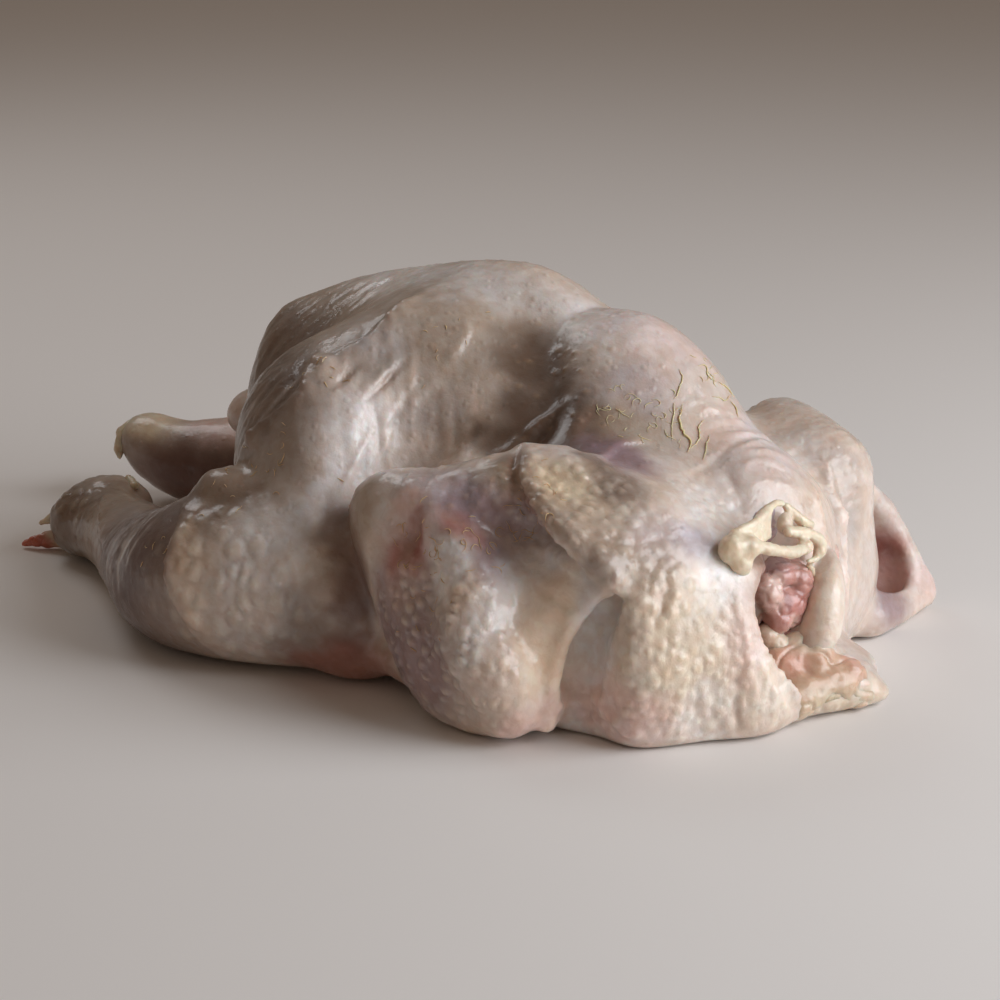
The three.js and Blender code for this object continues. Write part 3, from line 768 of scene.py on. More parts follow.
def fold_lift(points, normals, rows, left, right):
    """How far a fold along a path lifts each point, as the path would look laid on the skin."""
    rows = smooth_stations(rows, 4).astype(float)
    reach = FOLD_REACH * max(left, right) + FOLD_DEPTH
    box = ((points > rows[:, :3].min(0) - reach) & (points < rows[:, :3].max(0) + reach)).all(1)
    near = np.flatnonzero(box)
    p = points[near]
    n = normals[near]
    nearest = np.full(len(near), FAR_AWAY)
    height = np.zeros(len(near))
    side = np.zeros(len(near))
    for a, b in zip(rows[:-1], rows[1:]):
        along = (b - a)[:3]
        share = np.clip((p - a[:3]) @ along / (along @ along), 0, 1)
        away = p - a[:3] - share[:, None] * along
        depth = (away * n).sum(1)
        beside = np.linalg.norm(away - depth[:, None] * n, axis=1)
        distance = beside + np.maximum(np.abs(depth) - FOLD_DEPTH, 0)
        closer = distance < nearest
        nearest[closer] = distance[closer]
        height[closer] = (a[3] + (b[3] - a[3]) * share)[closer]
        side[closer] = (np.cross(n, along) * away).sum(1)[closer]
    width = np.where(side > 0, left, right)
    lift = np.zeros(len(points))
    lift[near] = height * np.exp(-((nearest / width) ** 2))
    return lift


def cobbles(points, size, seed):
    """Rounded grains that touch each other: 0 in the gaps and 1 on top."""
    first, second = cells(points, size, seed)
    dome = 1 - np.minimum(first / COBBLE_DOME, 1) ** 2
    return dome * smoothstep(0, COBBLE_GAP, second - first)


def follicles(points, size, seed):
    """Small domes that stand apart."""
    first, _ = cells(points, size, seed, DOT_JITTER)
    return 1 - smoothstep(DOT_TOP, DOT_FOOT, first)


def fibres(points, direction, size, seed, stretch=7):
    """Noise drawn out along a direction."""
    along = np.array(direction, float) / np.linalg.norm(direction)
    squeezed = points - np.outer(points @ along, along) * (1 - 1 / stretch)
    return layered_noise(squeezed, size, seed)


def lifts(points, normals, folds):
    """How far all of some folds lift each point."""
    return sum(fold_lift(points, normals, *fold) for fold in folds)


def find_relief(points, normals):
    """How far each point is lifted, and the marks that the colours follow."""
    cobbled = zones(points, COBBLED) * (1 - zones(points, SMOOTH))
    grain = cobbles(points, COBBLE_SIZE, 11)
    lobed = zones(points, LOBED)
    lobes = cobbles(points * LOBE_SQUEEZE, LOBE_SIZE, 12)
    dots = zones(points, FOLLICLES) * follicles(points, FOLLICLE_SPACING, 21)
    fat = sum(height * cobbles(points, size, seed) for size, height, seed in FAT_GRAINS)
    folds = lifts(points, normals, FOLDS) * (1 + FOLD_UNEVENNESS * noise(points, 2.4, 46))
    streaks = np.zeros(len(points))
    for seed, (direction, size, height, centre, radii) in enumerate(FIBRES, 41):
        streaks += height * zone(points, centre, radii) * fibres(points, direction, size, seed)
    lift = lifts(points, normals, SWELLS) + folds + FIBRE_HEIGHT * streaks
    for size, height, seed, layers in WAVES:
        lift += height * layered_noise(points, size, seed, layers)
    lift += cobbled * (COBBLE_HEIGHT * grain + COBBLE_WAVE * noise(points, 8, 14) - COBBLE_SINK)
    lift += lobed * LOBE_HEIGHT * (lobes - 0.5)
    lift += FOLLICLE_HEIGHT * dots + zones(points, FATTY) * (fat - FAT_SINK)
    marks = {
        "grain": cobbled * (grain - MIDDLE) + LOBE_MARK * lobed * (lobes - MIDDLE),
        "dots": dots,
        "streaks": streaks,
        "folds": np.clip(folds, -1.5, 1.5),
    }
    return lift * smoothstep(0, CALM, points[:, 2]), marks


# ------------------------------------------------------------------ colours of the skin

SKIN = (0.66, 0.56, 0.49)
CREAM = (0.80, 0.70, 0.58)
PEARL = (0.76, 0.73, 0.71)
MILK = (0.85, 0.83, 0.82)
FAT = (0.68, 0.57, 0.41)
FLUSH = (0.76, 0.54, 0.49)
PEACH = (0.76, 0.57, 0.42)
BRUISE = (0.34, 0.10, 0.08)
THIN = (0.44, 0.37, 0.39)
OCHRE = (0.42, 0.32, 0.23)
TAUPE = (0.36, 0.31, 0.28)
UMBER = (0.14, 0.088, 0.06)
MUSCLE = (0.135, 0.083, 0.072)
SINEW = (0.30, 0.215, 0.15)
HOCK = (0.12, 0.068, 0.03)
PLUM = (0.28, 0.185, 0.20)
RUSSET = (0.15, 0.065, 0.045)
RAW = (0.40, 0.17, 0.13)
MEAT = (0.50, 0.26, 0.22)
BLOOD = (0.22, 0.055, 0.04)
FOLLICLE = (0.52, 0.36, 0.22)
# the darker, redder colour of creases and of the gaps between cobbles: partly a redder tone, partly
# painted shade
CREASE_RED_AND_SHADE = (0.42, 0.26, 0.20)

# Colour, then centre, radii and strength of the zone that has it, laid one over another.
TINTS = [
    (OCHRE, (-92, -25, 72), (46, 50, 36), 0.8),
    (UMBER, (-92, -48, 70), (28, 26, 30), 0.9),
    (UMBER, (-108, -30, 72), (18, 20, 20), 0.7),
    (UMBER, (-68, -69, 71), (18, 15, 22), 0.9),
    (UMBER, (-56, -72, 76), (10, 9, 12), 0.8),
    (UMBER, (-86, -56, 68), (16, 16, 20), 0.7),
    (UMBER, (-64, -62, 81), (10, 9, 8), 0.5),
    (TAUPE, (-36, -36, 92), (26, 24, 14), 0.7),
    (TAUPE, (-48, -54, 88), (14, 12, 8), 0.7),
    (TAUPE, (-50, -80, 62), (12, 10, 10), 0.8),
    (TAUPE, (-48, -75, 70), (8, 9, 11), 0.6),
    (TAUPE, (-40, -52, 85), (11, 10, 7), 0.5),
    (TAUPE, (-26, -44, 74), (9, 10, 11), 0.5),
    (UMBER, (-52, -92, 46), (20, 11, 10), 1.0),
    (SINEW, (-62, -90, 40), (34, 30, 40), 0.3),
    (UMBER, (-82, -98, 40), (20, 16, 16), 0.8),
    (OCHRE, (-26, -26, 88), (30, 22, 18), 0.55),
    # painted shade, down to the zone at (19, -64, 67): the hollow behind the shoulder, the shadow
    # along the top of the arm against the flank, and the shadows under the pad's upper and left
    # edges
    (UMBER, (3, -32, 75), (14, 18, 12), 0.95),
    (UMBER, (20, -34, 72), (16, 12, 8), 0.85),
    (UMBER, (-10, -21, 85), (11, 13, 12), 0.9),
    (UMBER, (-4, -42, 66), (13, 7, 6), 0.9),
    (UMBER, (36, -50, 70), (7, 5, 4), 0.8),
    (UMBER, (18, -38, 70), (14, 8, 7), 1.0),
    (UMBER, (16, -32, 74), (8, 8, 7), 0.8),
    (UMBER, (2, -34, 74), (10, 8, 8), 0.4),
    (UMBER, (19, -64, 67), (6, 7, 6), 0.85),
    (TAUPE, (32, -21, 71), (12, 8, 8), 0.75),
    (TAUPE, (9, -74, 65), (15, 7, 6), 0.6),
    (TAUPE, (73, -48, 40), (6, 7, 10), 0.8),
    (TAUPE, (59, 32, 50), (8, 8, 13), 0.5),
    # painted highlight: the wet, glinting streaks down the flank
    (MILK, (-36, -66, 66), (8, 14, 18), 0.55),
    # painted highlight: the light band and the bright rim along the top of the back
    (PEARL, (-36, -10, 102), (30, 14, 8), 0.5),
    (MILK, (-76, -6, 99), (24, 14, 9), 0.85),
    (PEARL, (-70, -17, 97), (15, 8, 6), 0.8),
    (MILK, (4, -3, 93), (19, 14, 11), 0.8),
    (MILK, (48, 14, 64), (12, 18, 8), 0.6),
    (OCHRE, (28, -24, 72), (14, 10, 9), 0.5),
    (CREAM, (70, -54, 26), (26, 22, 30), 0.8),
    (FAT, (38, -64, 60), (22, 14, 12), 0.5),
    (SINEW, (41, -64, 60), (18, 11, 10), 0.45),
    (FAT, (33, -61, 66), (11, 8, 5), 0.8),
    (UMBER, (44, -50, 65), (10, 8, 7), 0.7),
    (THIN, (61, -54, 54), (9, 9, 9), 0.6),
    (UMBER, (57, -70, 52), (10, 7, 7), 0.5),
    (FAT, (72, -58, 28), (14, 14, 18), 0.45),
    (CREAM, (-54, -100, 26), (24, 18, 22), 0.4),
    (PEARL, (-42, -96, 36), (16, 14, 24), 0.55),
    (MILK, (-46, -90, 50), (10, 9, 12), 0.5),
    (MILK, (-37, -78, 47), (6, 6, 9), 0.7),
    (SINEW, (-71, -86, 51), (9, 9, 7), 0.6),
    (UMBER, (-32, -90, 14), (11, 9, 15), 0.6),
    (PLUM, (34, -37, 68), (14, 8, 6), 0.9),
    (THIN, (54, -74, 34), (10, 8, 11), 0.3),
    (MILK, (69, -42, 48), (8, 10, 12), 0.7),
    (MILK, (58, -29, 58), (10, 13, 7), 0.7),
    (MILK, (76, -52, 9), (8, 9, 11), 0.7),
    (MILK, (48, -72, 7), (8, 8, 9), 0.9),
    (OCHRE, (62, -60, 46), (7, 7, 9), 0.55),
    (MILK, (49, -68, 24), (9, 9, 22), 1.0),
    (THIN, (65, -45, 52), (6, 6, 5), 0.8),
    (THIN, (22, -14, 81), (12, 9, 8), 0.45),
    # painted shadow of the pad on the web below it
    (PLUM, (24, -69, 57), (15, 8, 8), 0.8),
    (THIN, (8, -77, 61), (18, 8, 7), 0.8),
    (PEARL, (-6, -85, 54), (6, 7, 6), 0.6),
    (THIN, (6, -90, 32), (14, 12, 26), 0.75),
    (TAUPE, (0, -90, 33), (7, 7, 10), 0.6),
    (TAUPE, (17, -95, 24), (8, 7, 14), 0.6),
    (PEARL, (31, -91, 32), (6, 7, 14), 0.7),
    (PLUM, (27, -79, 49), (8, 8, 10), 0.8),
    (PLUM, (9, -94, 17), (16, 11, 18), 0.8),
    (PLUM, (-4, -90, 32), (7, 8, 14), 0.6),
    (MILK, (38, -74, 43), (13, 10, 12), 0.7),
    (CREAM, (44, -78, 26), (8, 9, 24), 1.0),
    (PEACH, (41, -77, 30), (8, 8, 20), 0.6),
    # painted highlight along the forearm's ridge
    (MILK, (18, -88, 45), (6, 6, 12), 0.9),
    (MILK, (2, -86, 56), (5, 5, 4), 0.6),
    # painted shade on the left side of the wing, turned from the light
    (RUSSET, (-21, -84, 34), (7, 8, 26), 0.8),
    (RUSSET, (-31, -78, 44), (6, 7, 14), 0.6),
    (OCHRE, (-18, -82, 52), (7, 8, 10), 0.6),
    (FLUSH, (14, 4, 92), (20, 14, 12), 0.4),
    (FLUSH, (52, 2, 66), (18, 16, 10), 0.3),
    (FLUSH, (62, -72, 10), (22, 12, 9), 0.7),
    (FLUSH, (41, -84, 5), (12, 8, 8), 0.7),
    (FLUSH, (80, -42, 28), (6, 6, 14), 0.5),
    (FLUSH, (90, -4, 10), (7, 9, 7), 0.6),
    (FLUSH, (0, -83, 59), (5, 5, 4), 0.7),
    (PLUM, (14, -77, 56), (11, 7, 7), 0.75),
    (FLUSH, (2, -87, 48), (9, 7, 14), 0.6),
    (BRUISE, (4, -86, 53), (3, 5, 6), 0.7),
    (BRUISE, (2, -87, 47), (4, 6, 5), 0.5),
    (BRUISE, (-2, -88, 43), (3, 5, 5), 0.5),
    (BRUISE, (6, -88, 44), (3, 5, 4), 0.4),
    (BRUISE, (14, -81, 55), (4, 5, 3), 0.5),
    (BRUISE, (19, -80, 52), (4, 4, 3), 0.4),
    (SINEW, (-140, -66, 18), (26, 18, 16), 0.95),
    (UMBER, (-156, -64, 14), (14, 12, 15), 0.75),
    (HOCK, (-170, -54, 12), (22, 20, 18), 0.95),
    (RAW, (-24, -82, 6), (18, 16, 9), 0.8),
    (RUSSET, (-186, 2, 13), (26, 20, 11), 0.8),
    (RUSSET, (-140, 18, 10), (64, 40, 15), 0.9),
    (SINEW, (-150, 18, 28), (60, 30, 8), 0.8),
    (RUSSET, (-168, -2, 19), (24, 12, 9), 0.7),
    (FLUSH, (-170, 12, 29), (20, 12, 7), 0.6),
    (HOCK, (-204, 4, 20), (9, 14, 10), 0.6),
    (FAT, (-198, 0, 28), (12, 12, 5), 0.8),
    (FAT, (88, -4, 5), (9, 14, 6), 0.8),
    (CREAM, (84, -36, 12), (6, 8, 9), 0.7),
    (BLOOD, (76, -19, 31), (11, 15, 20), 1.0),
    # painted shade in the gap between the neck meat and the skin's near rim
    (UMBER, (73, -27, 24), (6, 6, 11), 1.0),
    (RAW, (53, 60, 15), (8, 12, 12), 1.0),
    (BLOOD, (51, 62, 17), (6, 8, 9), 0.8),
    (FLUSH, (-142, 0, 42), (14, 14, 10), 0.5),
    (PLUM, (-52, 54, 44), (10, 12, 28), 0.5),
    (FAT, (-98, 62, 38), (26, 18, 26), 0.5),
    (THIN, (36, 72, 30), (18, 10, 14), 0.4),
    (FLUSH, (50, 74, 10), (16, 10, 9), 0.6),
    (OCHRE, (-20, 50, 40), (30, 16, 24), 0.4),
    (PEARL, (-108, 50, 52), (16, 16, 18), 0.6),
    (FAT, (-78, 70, 30), (20, 12, 18), 0.6),
    (FLUSH, (-124, 42, 20), (26, 14, 10), 0.6),
    (THIN, (-58, 58, 36), (12, 12, 22), 0.6),
    (MILK, (-84, 44, 74), (20, 14, 10), 0.5),
    (TAUPE, (-120, 12, 60), (18, 20, 14), 0.6),
    (PLUM, (-8, 56, 28), (16, 12, 16), 0.5),
    (PLUM, (62, 53, 8), (8, 9, 7), 0.8),
    (CREAM, (80.5, -6.5, 25), (8, 9, 15), 1.0),
    (THIN, (69, -18, 51), (5, 6, 6), 0.7),
]

# Where the drumstick's skin ends: a spot on the edge, the way to the bare muscle and its zone.
SKIN_END = (-67.5, -104, 32)
TO_MUSCLE = (-0.88, 0.2, -0.43)
BARE_ZONE = ((-97, -90, 22), (36, 34, 32), 1.0)

# Streaks of silver skin, veins and blood, and painted highlights of wet streaks on the flank and
# along the forearm's ridge: colour, rows of x, y, z and strength, and width.
STROKES = [
    (MILK, [(-98, -90, 38, 0), (-98, -96, 32, 0.7), (-101, -100, 24, 0.8),
            (-104, -102, 16, 0)], 2.6),
    (MILK, [(-92, -93, 38, 0), (-95, -99, 32, 0.6), (-97, -103, 25, 0.7), (-95, -106, 18, 0)], 1.5),
    (MILK, [(-104, -90, 34, 0), (-107, -94, 27, 0.6), (-109, -96, 20, 0.7),
            (-110, -96, 14, 0)], 2.2),
    (MILK, [(-84, -95, 41, 0), (-87, -99, 36, 0.5), (-90, -103, 30, 0.4), (-90, -106, 24, 0)], 0.8),
    (PEARL, [(-74, -76, 56, 0), (-66, -72, 66, 0.5), (-60, -68, 76, 0.5), (-56, -62, 82, 0)], 0.9),
    (PEARL, [(-80, -72, 58, 0), (-74, -68, 68, 0.5), (-68, -62, 76, 0.4), (-62, -56, 84, 0)], 0.8),
    (PEARL, [(-88, -62, 66, 0), (-80, -58, 75, 0.4), (-72, -48, 84, 0.4), (-64, -40, 92, 0)], 0.8),
    # painted highlights: wet streaks glinting down the flank
    (MILK, [(-36, -52, 84, 0), (-37, -60, 76, 0.7), (-37, -68, 66, 0.8), (-36, -76, 56, 0.3)], 1.6),
    (MILK, [(-31, -54, 74, 0), (-33, -62, 66, 0.6), (-35, -70, 57, 0.6), (-34, -75, 50, 0)], 1.2),
    (BRUISE, [(3, -84, 55, 0.4), (5, -87, 49, 0.8), (3, -89, 42, 0.6), (0, -90, 36, 0)], 1.8),
    (BRUISE, [(-2, -86, 50, 0), (-1, -88, 45, 0.6), (-3, -89, 40, 0.4), (-4, -90, 34, 0)], 1.2),
    (BRUISE, [(10, -82, 56, 0.3), (15, -81, 53, 0.7), (19, -80, 50, 0.5), (24, -78, 46, 0)], 1.4),
    # painted highlight along the forearm's ridge
    (MILK, [(8, -86, 54, 0), (13, -88, 47, 0.8), (18, -91, 40, 0.8), (26, -94, 31, 0.3)], 2.0),
    (OCHRE, [(-72, -93, 45, 0.3), (-67, -101, 40, 0.8), (-65, -105, 33, 0.7),
             (-64, -107, 26, 0.2)], 3),
]

# How strongly the relief's marks colour the skin, and how uneven the colours are.
MARK_TINTS = [("dots", FOLLICLE, 0.35), ("grain", CREAM, 0.5)]
# how strongly creases and cobble gaps are darkened, partly as painted shade
CREASE_SHADE_STRENGTH = 0.5
GAP_SHADE_SHARE = 0.8
STREAK_SHADE = 0.4
# painted highlight: how much lighter the ridges of folds are made
FOLD_RIDGE_LIGHT = 0.1
SHADES = [(9, 0.09, 51, 3), (2.6, 0.08, 54, 2)]  # size, strength, seed and layers
WARMTH = (0.05, -0.01, -0.10)
RAGGED_TINT = 0.35

NECK_FAT = (0.78, 0.69, 0.53)
TISSUE = (0.60, 0.41, 0.29)
LILAC = (0.52, 0.40, 0.43)
PALE_MEAT = (0.70, 0.52, 0.46)
ROSY_MEAT = (0.58, 0.27, 0.24)

MEAT_TINTS = [
    (PALE_MEAT, (71, -5, 35), (5, 6, 5), 0.6),
    (PALE_MEAT, (73, -20.5, 34), (5, 4.5, 5), 1.0),
    (BLOOD, (75, -16.5, 31), (3, 1.4, 5), 0.7),
    (ROSY_MEAT, (75, -13, 28), (4, 5, 4), 0.7),
    (PALE_MEAT, (76, -15, 25), (3, 3, 2), 0.7),
    (PALE_MEAT, (74, -15, 23), (3, 4, 2), 0.6),
    (LILAC, (69, -14, 39), (4, 5, 3), 0.8),
    (LILAC, (66, -12, 50), (6, 9, 8), 1.0),
    (PALE_MEAT, (67, 12, 35), (6, 7, 7), 0.9),
    # painted shade in the gap between the meat and the skin's near rim
    (UMBER, (69, -26, 26), (6, 5, 9), 1.0),
    (BLOOD, (74, -12, 31), (4, 2, 2), 0.6),
]
NECK_FAT_TINTS = [
    ((0.74, 0.60, 0.40), (71, -39, 49), (5, 4, 6), 0.8),
    (LILAC, (70, -12, 50), (3, 3, 3), 0.3),
    # painted shade on the fat lumps low in the opening
    ((0.60, 0.44, 0.34), (69, -22, 21), (8, 8, 8), 0.9),
]
TISSUE_TINTS = [
    ((0.62, 0.52, 0.38), (84, -15, 5), (14, 16, 6), 0.9),
    ((0.62, 0.34, 0.25), (78, -18, 15), (6, 7, 6), 0.8),
    ((0.68, 0.40, 0.33), (86, -4, 11), (6, 5, 4), 0.8),
    ((0.76, 0.66, 0.52), (78, -12, 20), (6, 6, 5), 0.9),
    ((0.72, 0.64, 0.50), (91, 0, 3), (4, 5, 4), 0.9),
]


def laid_over(colour, tint, share):
    return colour + share[:, None] * (np.array(tint) - colour)


def tinted(points, base, tints, seed):
    """A colour for each point: a base with the zones' colours laid over it."""
    colour = np.tile(np.array(base), (len(points), 1))
    for zone_seed, (tint, *place) in enumerate(tints, seed):
        colour = laid_over(colour, tint, zone(points, *place, RAGGED_TINT, zone_seed))
    return colour


def skin_colours(points, normals, marks):
    """The colour at each point, worked out before the relief moves it."""
    colour = tinted(points, SKIN, TINTS, 60)
    past_edge = (points - np.array(SKIN_END)) @ np.array(TO_MUSCLE)
    bare = smoothstep(-1, 1.5, past_edge + 1.2 * noise(points, 5, 59)) * zone(points, *BARE_ZONE)
    colour = laid_over(colour, MUSCLE, bare)
    broken = smoothstep(-0.6, 0.5, layered_noise(points, 4, 58))
    for tint, rows, width in STROKES:
        colour = laid_over(colour, tint, broken * fold_lift(points, normals, rows, width, width))
    for name, tint, strength in MARK_TINTS:
        colour = laid_over(colour, tint, strength * np.maximum(marks[name], 0))
    # creases and the gaps between cobbles get a darker, redder colour, partly painted shade
    creases = np.maximum(-marks["folds"], 0) + GAP_SHADE_SHARE * np.maximum(-marks["grain"], 0)
    colour = laid_over(colour, CREASE_RED_AND_SHADE, CREASE_SHADE_STRENGTH * np.minimum(creases, 1))
    # streaks and noise vary the tone; the ridges of folds get a painted highlight
    shade = 1 + STREAK_SHADE * marks["streaks"] + FOLD_RIDGE_LIGHT * np.maximum(marks["folds"], 0)
    for size, strength, seed, layers in SHADES:
        shade += strength * layered_noise(points, size, seed, layers)
    warmth = layered_noise(points, 13, 57)[:, None] * np.array(WARMTH)
    return colour * shade[:, None] * (1 + warmth)


# ------------------------------------------------------------------ the cut neck
# Meat, fat and torn skin in the opening and round its rim, skinned on a finer grid.

NECK_MEAT = [  # centre and radii of each lump
    ((67, -8, 35), (5.5, 10, 6)),
    ((70.5, -20, 33), (4.6, 4.6, 5.4)),
    ((70.5, -14.5, 28), (6, 6.5, 6)),
    ((71, -13, 36.5), (3.6, 6, 3.6)),
    ((73, -17, 25.5), (3.6, 4, 4.4)),
    ((72.6, -12, 24.5), (3.8, 4, 3)),
    ((66, -24, 28.5), (5, 5.5, 7)),
    ((72.5, -8.5, 33), (4.6, 4.4, 6)),
    ((73.4, -12.6, 28.5), (4, 5, 4.6)),
    ((63, -11, 47.5), (3, 8, 6.5)),
    ((68, 11, 35), (3.5, 5, 5)),
]
NECK_FAT_LUMPS = [
    ((72, -37.5, 50), (3.8, 4.6, 4.2)),
    ((74.4, -34, 50.2), (3.3, 3.4, 3.2)),
    ((73.5, -36, 46.3), (3, 3.4, 3)),
    ((73, -35, 44), (2.2, 2.6, 2.2)),
    ((70.3, -12, 50.5), (2, 2.6, 3)),
    ((76.3, -11, 45), (2.1, 2.7, 2.2)),
    ((71, -19.5, 21), (3.8, 4.2, 3.6)),
    ((73, -17.5, 18), (3.6, 3.8, 3.4)),
]
NECK_FAT_WEB = [
    [(73, -34, 50.5), (73.5, -28, 50.3), (72.5, -23.3, 50.5)],
    [(71.5, -36.5, 54), (72.5, -28.8, 55.2), (71, -21.5, 56.6)],
]
NECK_STRANDS = [
    [(71.5, -24.5, 55.5, 1.4), (71, -20.3, 57, 1.1), (70.3, -16.5, 57.2, 1),
     (69.8, -13, 56.3, 0.9)],
    [(75.5, -33, 50.5, 1.4), (77, -29, 49, 1.8), (77.6, -24.5, 47.4, 1.5), (77.8, -19, 45.8, 1.8),
     (77.4, -14, 45.2, 1.5)],
    [(73, -14.3, 49.3, 1.5), (74, -10, 48.2, 1.7), (75, -6, 46.8, 1.5), (75.6, -3, 44.2, 1.8),
     (76, -3.6, 41.6, 1.4)],
    [(76, -3.6, 41.6, 1.4), (76, -6, 40.2, 0.9), (76, -8.6, 40.3, 0.7)],
    [(69.5, -10.6, 54.9, 1.1), (70.5, -8.2, 52.4, 1.3), (72, -6.3, 50.2, 1.6),
     (72, -2.4, 48.2, 1.1)],
    [(75, -7, 38.6, 0.8), (74.6, -5, 36.4, 1), (74, -3.4, 34.4, 0.6)],
]
NECK_TISSUE = [
    ((76, -10, 15), (7, 8, 7)),
    ((74, -18, 13), (7, 8, 6)),
    ((82, -15, 8), (8, 10, 5.5)),
    ((84, -7, 8.5), (8.5, 10, 5.5)),
    ((82, -23, 6), (6, 6, 5.5)),
    ((89, -3, 4), (5, 6, 3.4)),
    ((86, -4, 10.5), (5.5, 4, 2.6)),
    ((80, -11, 15), (5.5, 5.5, 6)),
]

FINE_PITCH = 0.55
FINEST_PITCH = 0.45
OFF_TABLE = 0.05  # the lowest that these pieces reach
CREASE_WIDTH = 0.14
GRAIN_WAVE = 0.6
SPECKLE = 0.1
WEB_THICKNESS = 1.2


def fine_skin(shapes, softness, pitch):
    """Shapes blended and skinned on a grid of their own."""
    low = np.min([shape[1] for shape in shapes], 0) - 3 * pitch
    high = np.max([shape[2] for shape in shapes], 0) + 3 * pitch
    flesh = Flesh([np.arange(a, b, pitch, dtype=np.float32) for a, b in zip(low, high)])
    for shape in shapes:
        flesh.blend(shape, softness)
    points, quads = skin_grid(flesh)
    return relax(points, quads, 2), quads


def grains(points, size, seed):
    """Soft grains all over a piece."""
    wave = layered_noise(points, 2 * size, seed + 5)
    return cobbles(points, size, seed) + GRAIN_WAVE * wave - MIDDLE


def torn(points, size, seed):
    """Uneven lobes with creases between them, as meat has where it is cut."""
    creases = np.exp(-((noise(points, size, seed + 5) / CREASE_WIDTH) ** 2))
    return layered_noise(points, size, seed) - creases


def make_trimming(name, material, shapes, softness, relief, base, tints, pitch=FINE_PITCH):
    """A small piece: shapes blended, given relief (its kind, size, height and seed), coloured."""
    points, quads = fine_skin(shapes, softness, pitch)
    surface, size, height, seed = relief
    lift = height * surface(points, size, seed)
    points = points + vertex_normals(points, quads) * lift[:, None]
    points[:, 2] = np.maximum(points[:, 2], OFF_TABLE)
    colours = tinted(points, base, tints, seed + 1)
    colours *= 1 + SPECKLE * layered_noise(points, 3, seed + 1)[:, None]
    make_piece(name, points, quads, colours, material)


def make_neck(meat, fat):
    lumps = [ellipsoid(*lump) for lump in NECK_MEAT]
    make_trimming("neck_meat", meat, lumps, 0.9, (torn, 3.6, 0.5, 71), MEAT, MEAT_TINTS)
    shapes = [ellipsoid(*lump) for lump in NECK_FAT_LUMPS]
    shapes += [limb(strand) for strand in NECK_STRANDS]
    shapes.append(skin_sheet(NECK_FAT_WEB, WEB_THICKNESS))
    relief = (grains, 2.4, 0.16, 81)
    make_trimming("neck_fat", fat, shapes, 1.2, relief, NECK_FAT, NECK_FAT_TINTS, FINEST_PITCH)
    lumps = [ellipsoid(*lump) for lump in NECK_TISSUE]
    make_trimming("neck_tissue", fat, lumps, 3, (torn, 5, 0.7, 91), TISSUE, TISSUE_TINTS)


# ------------------------------------------------------------------ the ends of the legs

LEG_ENDS = [
    # the near hock's tip of skin, the tendon below it and the tag on its inner side
    [(-178, -50, 12.5, 4.5), (-183, -53.5, 10, 2.4), (-186.5, -56.5, 8.2, 0.7)],
    [(-177, -53, 5, 4), (-182, -55.5, 3.8, 3), (-186, -58.5, 2.8, 2), (-190, -61, 1.4, 1)],
    [(-152, -46, 25, 1.5), (-156, -44.5, 25.6, 1.4), (-159, -43, 25.8, 0.7)],
    # the torn rim of the far leg
    [(-198, 4, 27.6, 1.4), (-203, 1, 26.8, 2.3), (-205.8, -3, 23.6, 2.6), (-206.4, -5, 19.5, 1.9)],
    [(-206.4, -5, 19.5, 1.9), (-206.2, -5.8, 17, 1.3), (-206, -6, 15.2, 0.6)],
]
TAG = (0.66, 0.58, 0.42)
TENDON = (0.46, 0.13, 0.08)
LEG_END_TINTS = [
    (TENDON, (-186, -59, 2), (8, 8, 5), 1.0),
    (UMBER, (-178, -54, 7), (6, 6, 5), 0.6),
]


def make_leg_ends(fat):
    shapes = [limb(end) for end in LEG_ENDS]
    make_trimming("leg_ends", fat, shapes, 1.5, (grains, 3.4, 0.5, 95), TAG, LEG_END_TINTS)


# ------------------------------------------------------------------ loose threads
# Fine yellow filaments on the neck and curled shreds of skin, laid on the surface.

FILAMENTS = [  # radius, then the way over the skin
    (0.22, [(27, -3, 84), (29, -4, 82), (30, -8, 79), (30, -10, 78)]),
    (0.2, [(31, -10, 77), (32, -12, 74), (35, -17, 68)]),
    (0.34, [(32, -8, 76), (34, -11, 73), (36, -12, 70), (39, -12, 68), (41, -16, 66)]),
    (0.22, [(38, -5, 72), (38, -8, 70), (40, -11, 67), (41, -16, 66)]),
    (0.2, [(41, -7, 69), (43, -11, 66), (45, -15, 64)]),
    (0.24, [(28, 4, 84), (29, 7, 83), (31, 5, 81), (32, 7, 79)]),
    (0.24, [(32, 9, 79), (32, 12, 77), (33, 14, 74)]),
    (0.2, [(35, 2, 77), (35, 5, 76), (36, 6, 75), (34, 11, 75)]),
    (0.24, [(36, 9, 74), (38, 9, 72), (41, 7, 71)]),
]
STRAW = (0.78, 0.62, 0.34)
AMBER = (0.74, 0.46, 0.24)
SHREDS = [  # centre, reach, how many, longest and colour
    ((25, -22, 75), 11, 26, 7, STRAW),
    ((34, -14, 72), 8, 12, 6, STRAW),
    ((30, 8, 80), 8, 10, 5, STRAW),
    ((6, -86, 50), 12, 26, 5, AMBER),
    ((26, -74, 52), 13, 22, 7, AMBER),
    ((14, -90, 34), 12, 14, 4, AMBER),
    ((32, -66, 63), 11, 18, 4, AMBER),
    ((-62, -86, 58), 16, 22, 5, AMBER),
    ((-52, -68, 78), 12, 12, 4, AMBER),
    ((-76, -105, 34), 10, 8, 4, AMBER),
    ((-26, -34, 86), 18, 16, 3, AMBER),
]
THREAD_STEP = 0.45
THREAD_SEED = 12
SHRED_RADII = (0.09, 0.17)
SHRED_SPREAD = 0.45  # how widely shreds are strewn, as a share of their zone's reach
SHORTEST_SHARE = 0.35
SHRED_LIFT = 0.12  # how high a shred lies above the skin
SHRED_TURN = 0.35  # how sharply it turns at first, and how much that changes from step to step
SHRED_CURL = 0.25
TURN_KEPT = 0.8
WOBBLE = 0.12  # of a filament, at each step
